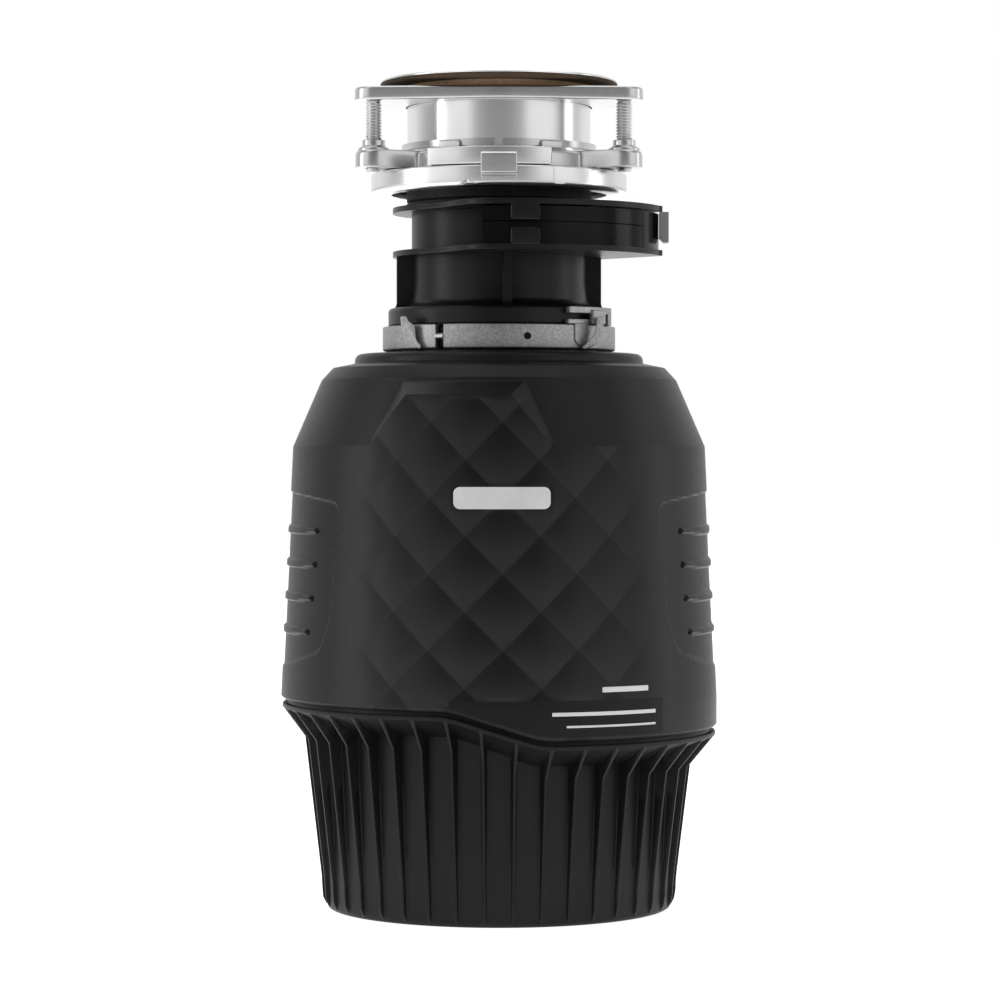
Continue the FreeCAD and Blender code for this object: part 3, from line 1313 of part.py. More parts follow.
def base_collar():
    """Collar, spigot and upper wall, with the same wave as the shell's edge."""
    skirt_z = 60.0
    skirt_r = sizes.foot_r + (sizes.base_top_r - sizes.foot_r) * skirt_z / sizes.neck_in_z
    high = spun([
        (skirt_r - sizes.base_wall, skirt_z),
        (skirt_r, skirt_z),
        (sizes.base_top_r, sizes.neck_in_z),
        (sizes.collar_r, sizes.collar_z),
        (sizes.collar_r, sizes.collar_top_z),
        (sizes.spigot_r, sizes.collar_top_z),
        (sizes.spigot_r, sizes.spigot_z),
        (sizes.spigot_r - 2.6, sizes.spigot_z),
        (sizes.spigot_r - 2.6, sizes.collar_top_z + 0.6),
        (sizes.base_top_r - 2.4, sizes.neck_in_z + 3.6),
    ])
    low = high.copy()
    low.translate(FreeCAD.Vector(0, 0, -sizes.wave_drop))
    run = sizes.wave_right_x - sizes.wave_left_x
    ramp = sheared(high, sizes.wave_drop / run, sizes.wave_left_x)
    reach = sizes.shell_r + 10.0

    def slice_box(left, right):
        corner = FreeCAD.Vector(left, -reach, 0)
        return Part.makeBox(right - left, 2 * reach, sizes.spigot_z + 10.0, corner)

    return [
        high.common(slice_box(-reach, sizes.wave_left_x)),
        ramp.common(slice_box(sizes.wave_left_x, sizes.wave_right_x)),
        low.common(slice_box(sizes.wave_right_x, reach)),
    ]


def base_rib(angle):
    """One upright rib that turns out under the collar."""
    fall = wave_fall(sizes.collar_r * math.sin(math.radians(angle)))
    lean = sizes.rib_bend_r - 0.08 * fall
    corners = [
        FreeCAD.Vector(sizes.foot_r - 1.2, 0, 0),
        FreeCAD.Vector(sizes.rib_foot_r, 0, 0),
        FreeCAD.Vector(lean, 0, sizes.rib_bend_z - fall),
        FreeCAD.Vector(sizes.collar_r - 0.2, 0, sizes.collar_z + 0.4 - fall),
        FreeCAD.Vector(sizes.base_top_r - 1.2, 0, sizes.neck_in_z + 0.4 - fall),
    ]
    face = Part.Face(Part.makePolygon(corners + corners[:1]))
    face.translate(FreeCAD.Vector(0, -0.5 * sizes.rib_width, 0))
    rib = face.extrude(FreeCAD.Vector(0, sizes.rib_width, 0))
    rib.rotate(FreeCAD.Vector(0, 0, 0), FreeCAD.Vector(0, 0, 1), angle - 90.0)
    return rib


def make_ribbed_base():
    """Moulded base: a cup on a ring foot, a waved collar and upright ribs."""
    top_z = sizes.neck_in_z - sizes.wave_drop
    top_r = sizes.foot_r + (sizes.base_top_r - sizes.foot_r) * top_z / sizes.neck_in_z
    cup = spun([
        (sizes.foot_r - sizes.base_wall, 0),
        (sizes.foot_r, 0),
        (top_r, top_z),
        (top_r - sizes.base_wall, top_z),
        (sizes.foot_r - sizes.base_wall, sizes.floor_top_z),
        (0, sizes.floor_top_z),
        (0, sizes.floor_z),
        (sizes.foot_r - sizes.base_wall, sizes.floor_z),
    ])
    count = int(sizes.rib_count)
    ribs = [base_rib((number + 0.5) * ROUND / count) for number in range(count)]
    solid = cup.multiFuse(base_collar() + ribs)
    upright = FreeCAD.Vector(0, 0, 1)
    holes = (
        (sizes.button_x, sizes.button_y, sizes.button_hole_r),
        (sizes.cable_x, sizes.cable_y, sizes.cable_r),
        (sizes.hatch_x + sizes.hatch_screw_at, sizes.hatch_y, sizes.hatch_screw_r),
    )
    for across, back, radius in holes:
        spot = FreeCAD.Vector(across, back, -1)
        solid = solid.cut(Part.makeCylinder(radius, sizes.floor_top_z + 2, spot, upright))
    hatch = FreeCAD.Vector(sizes.hatch_x - 20.0, sizes.hatch_y - 13.0, -1)
    solid = solid.cut(Part.makeBox(34.0, 26.0, sizes.floor_top_z + 2, hatch))
    code_part("ribbed_base", solid.removeSplitter())


# ----------------------------------------------------------------- name plate

def make_name_plate():
    """Blank oblong plate with round corners, laid on the front of the shell."""
    low = sizes.name_z - sizes.name_half_z
    high = sizes.name_z + sizes.name_half_z
    skin = spun([
        (wall_face(low), low),
        (wall_face(low) + sizes.name_thick, low),
        (wall_face(high) + sizes.name_thick, high),
        (wall_face(high), high),
    ])
    reach = sizes.shell_r + 5.0
    corner = FreeCAD.Vector(sizes.name_x - sizes.name_half_x, -reach, low)
    block = Part.makeBox(2 * sizes.name_half_x, reach, high - low, corner)
    corner_edges = [edge for edge in block.Edges if abs(edge.tangentAt(0).y) > 0.99]
    code_part("name_plate", skin.common(block.makeFillet(sizes.name_round, corner_edges)))


SUB_PARTS = (
    make_sink_flange,
    make_fibre_gasket,
    make_backup_flange,
    make_mounting_ring,
    make_snap_ring,
    make_lower_mounting_ring,
    make_cushion_mount,
    make_cover_seal,
    make_cover_plug,
    make_cover_handle,
    make_cover_magnets,
    make_throat_neck,
    make_inlet_plug,
    make_sensor_housing,
    make_sensor_end_cap,
    make_sensor_latch_tab,
    make_sensor_board,
    make_neck_clamp_ring,
    make_clamp_pin,
    make_neck_gasket,
    make_grind_chamber,
    make_grind_ring,
    make_drain_housing,
    make_discharge_parts,
    make_shredder_plate,
    make_lug_rivets,
    make_plate_nut,
    make_shaft_seal,
    make_water_slinger,
    make_motor_shaft,
    make_rotor_core,
    make_stator_core,
    make_stator_windings,
    make_motor_shroud,
    make_bearings,
    make_lower_end_frame,
    make_through_bolts,
    make_reset_button,
    make_overload_protector,
    make_start_relay,
    make_terminal_cover,
    make_sound_insulation,
    make_upper_shell,
    make_ribbed_base,
    make_name_plate,
)


def sub_part_objects():
    """Every object that is a sub-part of its own."""
    kinds = ("PartDesign::Body", "Part::Feature")
    return [item for item in doc.Objects if item.TypeId in kinds]


def check_and_export():
    for item in doc.Objects:
        if "Invalid" in item.State or "Error" in item.State:
            raise RuntimeError("%s did not recompute: %s" % (item.Name, item.State))
    os.makedirs("parts", exist_ok=True)
    for item in sub_part_objects():
        shape = item.Shape
        if shape.isNull() or not shape.isValid() or not shape.Solids:
            raise RuntimeError("%s has no valid solid" % item.Label)
        shape.exportStep("parts/%s.step" % item.Label)
        print("%-24s %2d solids %10.0f mm3" % (item.Label, len(shape.Solids), shape.Volume))


for make in SUB_PARTS:
    make()
for name, angle in (("left", -60.0), ("right", 60.0), ("rear", 180.0)):
    make_mounting_screw("mounting_screw_" + name, angle)
for label, side in (("swivel_lug_front", -1), ("swivel_lug_rear", 1)):
    make_swivel_lug(label, side)
doc.recompute()
check_and_export()
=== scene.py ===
import json
import math

import bmesh
import bpy
from mathutils import Matrix, Vector


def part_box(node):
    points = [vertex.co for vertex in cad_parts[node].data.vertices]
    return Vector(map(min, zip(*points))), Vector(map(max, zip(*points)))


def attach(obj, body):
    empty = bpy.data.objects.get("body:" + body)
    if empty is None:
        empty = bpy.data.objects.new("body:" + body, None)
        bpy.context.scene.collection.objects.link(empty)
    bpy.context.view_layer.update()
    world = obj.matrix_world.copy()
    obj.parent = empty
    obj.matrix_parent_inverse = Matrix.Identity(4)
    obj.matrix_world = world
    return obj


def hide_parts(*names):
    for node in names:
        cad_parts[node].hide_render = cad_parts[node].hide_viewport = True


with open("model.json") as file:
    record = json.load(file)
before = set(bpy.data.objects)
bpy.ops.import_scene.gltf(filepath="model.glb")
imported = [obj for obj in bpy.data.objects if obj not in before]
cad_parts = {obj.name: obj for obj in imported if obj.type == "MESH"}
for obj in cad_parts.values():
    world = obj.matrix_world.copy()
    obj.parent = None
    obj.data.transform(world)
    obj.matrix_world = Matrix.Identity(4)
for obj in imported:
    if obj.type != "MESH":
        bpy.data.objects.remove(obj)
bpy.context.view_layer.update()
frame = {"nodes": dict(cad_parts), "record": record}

# Looks of the garbage disposal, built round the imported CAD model.
# Lengths below are millimetres unless a name ends in _m. The front faces -Y, and
# angles round the axis are measured from the front towards +X, in degrees.

MM = 0.001


def node_mm(node):
    """Lowest and highest corner of a CAD node, in millimetres."""
    low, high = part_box(node)
    return [value / MM for value in low], [value / MM for value in high]


SHELL_LOW, SHELL_HIGH = node_mm("upper_shell")
BASE_HIGH = node_mm("ribbed_base")[1]

# Shell, from its lower edge to its crown
SHELL_R = SHELL_HIGH[0]
SHELL_TOP_Z = SHELL_HIGH[2]
SEAM_LOW_Z = SHELL_LOW[2]
WAVE_DROP = 13.5
WAVE_LEFT_X = -23.4
WAVE_RIGHT_X = 19.8
WAVE_ROUND = 7.0
SEAM_HIGH_Z = SEAM_LOW_Z + WAVE_DROP
BEVEL_Z = SEAM_HIGH_Z + 1.5
CREASE_R = SHELL_R - 5.8
CREASE_Z = SHELL_TOP_Z - 44.2
CONE_TOP_R = SHELL_R - 19.4
CONE_TOP_Z = SHELL_TOP_Z - 12.7
SHELL_WALL = 2.6
NECK_HOLE_R = 47.6
WALL_ROWS = 128
# Lower edge of the shell: rise over the seam and how far in
SEAM_ROUND = ((0.0, SHELL_WALL), (0.0, 1.3), (0.35, 0.9))
# Crown from the top of the cone, round the neck hole and back down inside
CROWN = (
    (CONE_TOP_R, CONE_TOP_Z, 1.2), (CONE_TOP_R - 5.5, CONE_TOP_Z + 6.0, 1.2),
    (69.1, SHELL_TOP_Z - 4.6, 0.5), (68.9, SHELL_TOP_Z, 3.2),
    (NECK_HOLE_R, SHELL_TOP_Z, 0.6), (NECK_HOLE_R, SHELL_TOP_Z - SHELL_WALL),
    (64.0, SHELL_TOP_Z - SHELL_WALL), (66.5, SHELL_TOP_Z - 7.2),
    (CONE_TOP_R - 6.9, CONE_TOP_Z + 3.4), (CONE_TOP_R - 2.4, CONE_TOP_Z - 1.4),
    (CREASE_R - SHELL_WALL, CREASE_Z - 0.8), (SHELL_R - SHELL_WALL - 0.1, BEVEL_Z + 2.0),
)
# Window at the back for the discharge flange: across and up
WINDOW_CORNERS = ((-43.0, 131.0), (43.0, 131.0), (43.0, 189.0), (-43.0, 189.0))

# Dormer over the shoulder, front and back
DORMER_AT = -11.4
DORMER_FOOT = 25.65
DORMER_HEAD = 14.5
DORMER_R = CREASE_R - 1.2
DORMER_Z = CREASE_Z + 23.5
DORMER_BACK_R = CONE_TOP_R + 0.7
DORMER_BACK_Z = CONE_TOP_Z - 1.5
DORMER_SIDE = 1.0
DORMER_BACK = 19.3

# Quilting on the front and the back
QUILT_HALF_TURN = 9.7
QUILT_HALF_HEIGHT = 17.2
QUILT_AT = 1.0
QUILT_Z = CREASE_Z - 58.0
QUILT_RISE = 0.85
QUILT_EDGE = 42.0
# Painted shade of a diamond by the share of its height, and the angles where the painted shading
# fades out
QUILT_PAINTED_SHADES = ((0.05, 2.1), (0.5, 1.15), (0.95, 0.3))
QUILT_PAINTED_SHADE_FADE = (32.0, 43.0)

# Blank name plate and dark label patch on the front
NAME_AT = 0.8
NAME_Z = 197.0
LABEL_LEFT = -12.4
LABEL_RIGHT = 46.0
LABEL_TOP_Z = SEAM_HIGH_Z + 4.8
LABEL_THICK = 0.05
MARK_LEFT = 25.0
MARK_TOP_Z = SEAM_HIGH_Z + 12.0

# Ridged side panels
PANEL_DEPTH = 0.8
PANEL_TOP_Z = CREASE_Z - 21.1
PANEL_LOW_Z = CREASE_Z - 104.4
RIDGE_Z = CREASE_Z - 86.4
RIDGE_STEP = 15.7
RIDGE_STARTS = (61.0, 59.5, 58.5, 58.0)
RIDGE_RISE = 0.75

# Base
FOOT_R = 82.6
BASE_TOP_R = 86.9
NECK_IN_Z = 87.7
COLLAR_R = BASE_HIGH[0]
COLLAR_Z = 96.2
COLLAR_TOP_Z = 98.3
SPIGOT_R = 101.0
SPIGOT_Z = BASE_HIGH[2]
FLOOR_LOW_Z = 3.0
FLOOR_HIGH_Z = 6.0
RIB_COUNT = 40
RIB_FOOT_R = 84.6
RIB_HEEL_R = 85.0
RIB_HEEL_Z = 14.0
RIB_BEND_R = 92.9
RIB_BEND_Z = 82.0
RIB_TUCK = 0.09  # how far the bend comes in for each millimetre that the seam has dropped
RIB_FADE = (0.4, 7.0)  # heights between which the ribs rise from the wall

# Collar from the end of the ribs over its top and down inside; it follows the wave
COLLAR = (
    (COLLAR_R - 0.15, COLLAR_Z + 0.05), (COLLAR_R, COLLAR_Z + 0.4),
    (COLLAR_R, COLLAR_TOP_Z - 0.4), (COLLAR_R - 0.3, COLLAR_TOP_Z),
    (SPIGOT_R + 0.1, COLLAR_TOP_Z), (SPIGOT_R, COLLAR_TOP_Z + 0.2), (SPIGOT_R, SPIGOT_Z - 0.4),
    (SPIGOT_R - 0.4, SPIGOT_Z), (SPIGOT_R - 2.6, SPIGOT_Z), (SPIGOT_R - 2.6, COLLAR_TOP_Z + 0.6),
    (BASE_TOP_R - 2.4, NECK_IN_Z + 3.4), (BASE_TOP_R - 3.2, NECK_IN_Z - 3.0),
)
# Inside of the base, from the wall over the floor to the foot
BASE_FLOOR = (
    (FOOT_R - 2.4, 16.0), (FOOT_R - 3.0, FLOOR_HIGH_Z), (50.0, FLOOR_HIGH_Z),
    (1.0, FLOOR_HIGH_Z), (1.0, FLOOR_LOW_Z), (50.0, FLOOR_LOW_Z),
    (FOOT_R - 3.0, FLOOR_LOW_Z), (FOOT_R - 3.0, 0.0),
)
# Rounded bottom edge of the base below the ribs: how far in, and height
FOOT_ROUND = ((2.4, 0.0), (1.5, 0.15), (0.7, 0.6), (0.2, 1.4), (0.1, 1.7))

# Holes in the base floor: place and radius, and the corners of the terminal hatch
FLOOR_HOLES = ((-46.0, -30.0, 4.6), (28.0, 46.0, 11.1), (-1.0, 46.0, 2.0))
HATCH_CORNERS = ((-42.0, 33.0), (-8.0, 33.0), (-8.0, 59.0), (-42.0, 59.0))

# Sink mount
RIM_R = 57.15
RIM_TOP_Z = 395.2
SLEEVE_R = 43.9
SLEEVE_BORE_R = 42.4
EAR_AT_R = 67.9
EAR_R = 8.6
TIP_R = 8.9
WAIST_R = 50.0
PLATE_BORE_R = 44.6
EAR_BLEND = 0.45  # how sharply the mounting ring's ears meet its waist
SCREW_ANGLES = (("left", 300.0), ("right", 60.0), ("rear", 180.0))
SCREW_R = 3.9
THREAD_PITCH = 1.4
THREAD_DEPTH = 0.75
LOCK_R = 61.2
RING_FRONT_R = LOCK_R - 0.8  # 0.2 mm clear of the back of the locking ring's tab
LOCK_LOW_Z = 340.5
LOCK_TOP_Z = 350.6
CLAMP_R = 55.7
DECK_LOW_Z = 310.8
DECK_HIGH_Z = 331.7
DECK_THICK = 2.6
# Front edge of the decks: angle and radius, from the round part to the wing
DECK_FRONT = (
    (-47.0, 51.0), (-43.0, 51.1), (-39.0, 51.6), (-35.0, 52.5), (-31.0, 54.0), (-27.0, 56.2),
    (-23.0, 59.2), (-20.0, 61.9), (-17.0, 64.8), (-14.0, 67.6), (-11.0, 70.2), (-8.5, 72.2),
    (-6.0, 73.5), (-4.0, 73.9), (-2.0, 73.9),
)
# Front rib and foot cove of the neck: radius, height and corner radius
NECK_RIB = ((40.8, 286.0), (44.0, 286.0), (43.4, 311.0), (40.8, 311.0))
NECK_COVE = (
    (41.2, 286.2), (48.6, 286.2), (48.6, 286.55, 0.2), (42.9, 287.6, 4.0), (41.9, 297.0, 6.0),
    (41.75, 301.0), (41.2, 301.0),
)
# Corners of the locking ring's ramp: angle, height over the ring's foot, distance past its rim
RAMP_CORNERS = ((-21.8, 1.2, -1.5), (-7.4, 1.2, -1.5), (-14.5, 4.9, -1.0), (-13.2, 1.7, 1.9))
# Clamp bracket: outer radius, start and finish angle, lower and upper height over the foot
CLAMP_BRACKET = (
    ("bar", 57.0, 35.5, 69.5, 16.8, 19.9), ("strip", 56.5, 35.0, 48.5, 11.7, 14.0),
    ("post", 57.0, 65.5, 69.5, 11.5, 17.2), ("bridge", 58.2, 49.5, 60.0, 12.0, 18.4),
)
HORN_FLARE = 0.42
HORN_FLARE_AT = 38.0
# Lugs of the clamp band: distance to the right, height over the band's foot, corner radius
CLAMP_HORNS = (
    ("left", ((-46.2, 15.2, 0.5), (-45.6, 9.5, 8.0), (-42.2, 3.6, 6.0), (-37.6, 0.2, 1.0),
              (-35.9, 0.4, 0.8), (-38.8, 4.5, 5.0), (-39.5, 10.8, 2.0), (-42.4, 13.0, 3.0),
              (-43.3, 15.2, 0.5))),
    ("right", ((49.2, 15.2, 0.5), (48.9, 7.6, 7.0), (45.4, 2.0, 6.0), (40.0, -0.4, 1.0),
               (38.4, 0.6, 0.8), (41.6, 3.2, 6.0), (44.9, 7.6, 6.0), (46.2, 15.2, 0.5))),
)

# Plain stripes on and over the label: start and finish angle, height and half height
STRIPES = (
    ("label_stripe_upper", 13.3, 43.4, 99.3, 0.85),
    ("label_stripe_lower", 17.0, 43.4, 93.6, 0.5),
    ("marking_stripe_short", 26.8, 41.0, SEAM_HIGH_Z + 9.5, 1.2),
)

# Studio
FLOOR_GLOW = 0.85
FLOOR_DIM = 0.15
WORLD_TOP = 0.6
CAMERA_AT_M = (0.0005, -1.656, 0.2178)
CAMERA_LENS = 124.2
CAMERA_TIP = 0.797
# Brightness round the horizon: 0 is the camera's side, 1 is straight behind the object
WORLD_BANDS = (
    (0.0, 0.20), (0.02, 0.24), (0.06, 0.40), (0.11, 0.92), (0.34, 0.92), (0.45, 0.34),
    (0.60, 0.38), (0.83, 0.84), (0.975, 0.86), (0.99, 1.0), (1.0, 1.0),
)


# ------------------------------------------------------------------ materials

EVEN = (1.0, 1.0, 1.0)
MOULD_CLOUD = 0.2


def new_material(name, base, rough, metallic=0.0):
    material = bpy.data.materials.new(name)
    material.use_nodes = True
    shader = material.node_tree.nodes["Principled BSDF"]
    shader.inputs["Base Color"].default_value = (*base, 1.0)
    shader.inputs["Roughness"].default_value = rough
    shader.inputs["Metallic"].default_value = metallic
    return material, material.node_tree, shader


def add_node(tree, kind, inputs=(), **settings):
    """Shader node with its settings; an input is a socket to link or a plain value."""
    node = tree.nodes.new("ShaderNode" + kind)
    for name, value in settings.items():
        setattr(node, name, value)
    for name, value in dict(inputs).items():
        if isinstance(value, bpy.types.NodeSocket):
            tree.links.new(value, node.inputs[name])
        else:
            node.inputs[name].default_value = value
    return node


def object_coordinates(tree, stretch=EVEN):
    place = add_node(tree, "TexCoord").outputs["Object"]
    return add_node(tree, "Mapping", {"Vector": place, "Scale": stretch}).outputs["Vector"]


def place_axes(tree):
    """Object position as its three parts."""
    place = add_node(tree, "TexCoord").outputs["Object"]
    return add_node(tree, "SeparateXYZ", {"Vector": place}).outputs


def noise(tree, where, scale, detail=3.0, roughness=0.5):
    return add_node(tree, "TexNoise", {
        "Vector": where, "Scale": scale, "Detail": detail, "Roughness": roughness,
    }).outputs["Fac"]


def cells(tree, where, scale):
    return add_node(tree, "TexVoronoi", {"Vector": where, "Scale": scale}).outputs["Distance"]


def ramp(tree, factor, stops):
    """Colour ramp from (position, colour) stops."""
    node = add_node(tree, "ValToRGB", {"Fac": factor})
    elements = node.color_ramp.elements
    elements[0].position, elements[1].position = stops[0][0], stops[-1][0]
    for position, colour in stops[1:-1]:
        elements.new(position)
    for element, (position, colour) in zip(elements, stops):
        element.color = (*colour, 1.0)
    return node.outputs["Color"]


def two_tone(tree, factor, dark, light):
    return ramp(tree, factor, [(0.3, dark), (0.7, light)])


def span(tree, factor, low, high, from_low=0.3, from_high=0.7):
    """Map a factor to a range of numbers."""
    return add_node(tree, "MapRange", {
        "Value": factor, "From Min": from_low, "From Max": from_high,
        "To Min": low, "To Max": high,
    }).outputs["Result"]


def maths(tree, operation, *values):
    """Maths node fed by sockets or plain numbers."""
    return add_node(tree, "Math", enumerate(values), operation=operation).outputs["Value"]


def blend(tree, factor, first, second):
    """Colour between two colour sockets."""
    inputs = {0: factor, 6: first, 7: second}
    return add_node(tree, "Mix", inputs, data_type="RGBA").outputs[2]


def bump(tree, shader, factor, strength, distance_m):
    node = add_node(tree, "Bump", {
        "Height": factor, "Strength": strength, "Distance": distance_m})
    tree.links.new(node.outputs["Normal"], shader.inputs["Normal"])


def dress(tree, shader, colour, roughness=None):
    """Feed a shader's colour, and its roughness where that varies."""
    tree.links.new(colour, shader.inputs["Base Color"])
    if roughness is not None:
        tree.links.new(roughness, shader.inputs["Roughness"])


def grey(level):
    return (level, level, level)


def grained(name, base, rough, tones, cloud, grain, finish, relief, gloss=None):
    """Dull surface: a cloud of two tones, and a fine grain in its roughness and relief."""
    material, tree, shader = new_material(name, base, rough)
    if gloss is not None:
        shader.inputs["Specular IOR Level"].default_value = gloss
    where = object_coordinates(tree)
    fine = noise(tree, where, *grain)
    colour = two_tone(tree, noise(tree, where, *cloud), *tones)
    dress(tree, shader, colour, span(tree, fine, *finish))
    bump(tree, shader, fine, *relief)
    return material


def moulded_plastic(name, level, rough, gloss, grain=1500.0):
    """Matt moulded plastic: fine spark-eroded grain and a faint cloudiness."""
    tones = grey(level * (1 - MOULD_CLOUD)), grey(level * (1 + MOULD_CLOUD))
    return grained(name, grey(level), rough, tones, (24.0, 4.0), (grain, 2.0, 0.6),
                   (rough - 0.06, rough + 0.08), (0.35, 0.00006), gloss)


def quilted_plastic(name, level, rough, gloss):
    """Shell plastic with painted shade: each quilted diamond's colour runs from light at its foot
    to dark at its top.
    """
    material = moulded_plastic(name, level, rough, gloss)
    tree = material.node_tree
    shader = tree.nodes["Principled BSDF"]
    plain = shader.inputs["Base Color"].links[0].from_socket
    across, back, up = place_axes(tree)

    def calc(operation, *values):
        return maths(tree, operation, *values)

    side = calc("SIGN", calc("MULTIPLY", back, -1.0))
    turn = calc("ARCTAN2", calc("MULTIPLY", across, side), calc("ABSOLUTE", back))
    column = calc("MULTIPLY_ADD", turn, 0.5 / math.radians(QUILT_HALF_TURN),
                  -0.5 * QUILT_AT / QUILT_HALF_TURN)
    row = calc("MULTIPLY_ADD", up, 0.5 / (QUILT_HALF_HEIGHT * MM),
               -0.5 * QUILT_Z / QUILT_HALF_HEIGHT)
    first = calc("FRACT", calc("ADD", row, column))
    second = calc("FRACT", calc("SUBTRACT", row, column))
    climb = calc("MULTIPLY_ADD", calc("ADD", first, second), 0.5, 0.0)
    # Painted shade: the colour darkens towards each diamond's top vertex, where the moulded
    # cushion tilts upwards
    shade = ramp(tree, climb, [(at, grey(level * share)) for at, share in QUILT_PAINTED_SHADES])
    edge = span(tree, calc("ABSOLUTE", turn), 1.0, 0.0, *map(math.radians, QUILT_PAINTED_SHADE_FADE))
    lean = math.radians(DORMER_HEAD - DORMER_FOOT) / ((DORMER_Z - CREASE_Z) * MM)
    half = calc("MULTIPLY_ADD", up, lean, math.radians(DORMER_FOOT) - lean * CREASE_Z * MM)
    off = calc("ABSOLUTE", calc("SUBTRACT", turn, math.radians(DORMER_AT)))
    below = calc("MULTIPLY_ADD", up, -1.0 / MM, CREASE_Z)
    inside = calc("MAXIMUM", calc("SUBTRACT", half, off), below)
    inside = span(tree, inside, 0.0, 1.0, 0.0, 0.01)
    capped = span(tree, up, 1.0, 0.0, (DORMER_Z - 3.0) * MM, (DORMER_Z - 1.0) * MM)
    # Where the painted shade applies: faded out towards the sides and kept off the dormer
    painted_shade_mask = calc("MULTIPLY", calc("MULTIPLY", edge, inside), capped)
    dress(tree, shader, blend(tree, painted_shade_mask, plain, shade))
    return material


def metal(name, level, rough, stretch=EVEN, scale=900.0, wear=0.05, depth_m=0.00002):
    """Bare metal with fine working marks, stretched along the way it was finished."""
    material, tree, shader = new_material(name, grey(level), rough, 1.0)
    marks = noise(tree, object_coordinates(tree, stretch), scale, 4.0, 0.6)
    cloud = noise(tree, object_coordinates(tree), 35.0)
    tones = grey(level * (1 - wear)), grey(min(level * (1 + wear), 0.98))
    finish = span(tree, marks, rough * 0.97, rough * 1.05)
    dress(tree, shader, two_tone(tree, cloud, *tones), finish)
    bump(tree, shader, marks, 0.01, depth_m)
    return material


def galvanised(name):
    """Zinc-coated steel band: mottled spangle over a satin metal."""
    material, tree, shader = new_material(name, grey(0.36), 0.42, 1.0)
    where = object_coordinates(tree)
    cloud = noise(tree, where, 420.0, 6.0, 0.75)
    mottle = add_node(tree, "Mix", {"Factor": 0.65, "A": cells(tree, where, 900.0), "B": cloud})
    stops = [(0.25, grey(0.27)), (0.5, grey(0.40)), (0.75, grey(0.54))]
    dress(tree, shader, ramp(tree, mottle.outputs["Result"], stops), span(tree, cloud, 0.42, 0.58))
    bump(tree, shader, cloud, 0.3, 0.00008)
    return material


def rubber(name):
    return grained(name, grey(0.018), 0.72, (grey(0.012), grey(0.028)), (90.0, 5.0),
                   (1100.0, 2.0), (0.62, 0.85), (0.3, 0.00008))


def pressed_fibre(name):
    """Brown gasket fibre in short strands: lighter below, with painted shade on its upper part
    under the rim.
    """
    material, tree, shader = new_material(name, (0.13, 0.075, 0.035), 0.85)
    strands = noise(tree, object_coordinates(tree, (1.0, 1.0, 4.0)), 420.0, 6.0, 0.7)
    bare = two_tone(tree, strands, (0.340, 0.215, 0.125), (0.640, 0.430, 0.260))
    painted_rim_shade = two_tone(tree, strands, (0.036, 0.022, 0.011), (0.095, 0.060, 0.031))
    up = place_axes(tree)[2]
    # Painted shade: above this height, under the sink flange's rim, the fibre is coloured dark
    step = span(tree, up, 0.0, 1.0, (RIM_TOP_Z - 3.6) * MM, (RIM_TOP_Z - 3.3) * MM)
    dress(tree, shader, blend(tree, step, bare, painted_rim_shade), span(tree, strands, 0.75, 0.95))
    bump(tree, shader, strands, 0.5, 0.00015)
    return material


def gloss_black(name):
    material, tree, shader = new_material(name, grey(0.004), 0.16)
    shader.inputs["Specular IOR Level"].default_value = 0.13
    where = object_coordinates(tree)
    colour = two_tone(tree, noise(tree, where, 40.0), grey(0.003), grey(0.005))
    dress(tree, shader, colour, span(tree, noise(tree, where, 700.0), 0.11, 0.22))
    return material


def banded(name, dark, light, scale, rough, metallic):
    """Stacked or wound material: fine bands along Z."""
    material, tree, shader = new_material(name, light, rough, metallic)
    bands = add_node(tree, "TexWave", {
        "Vector": object_coordinates(tree), "Scale": scale, "Distortion": 1.5,
    }, bands_direction="Z").outputs["Fac"]
    dress(tree, shader, ramp(tree, bands, [(0.2, dark), (0.8, light)]))
    bump(tree, shader, bands, 0.4, 0.0002)
    return material


def foam(name):
    material, tree, shader = new_material(name, grey(0.09), 0.95)
    pores = cells(tree, object_coordinates(tree), 700.0)
    dress(tree, shader, ramp(tree, pores, [(0.1, grey(0.04)), (0.7, grey(0.13))]))
    bump(tree, shader, pores, 0.6, 0.0004)
    return material


def coloured_plastic(name, dark, light, rough):
    return grained(name, light, rough, (dark, light), (60.0, 4.0), (900.0,),
                   (rough - 0.08, rough + 0.1), (0.2, 0.00005))


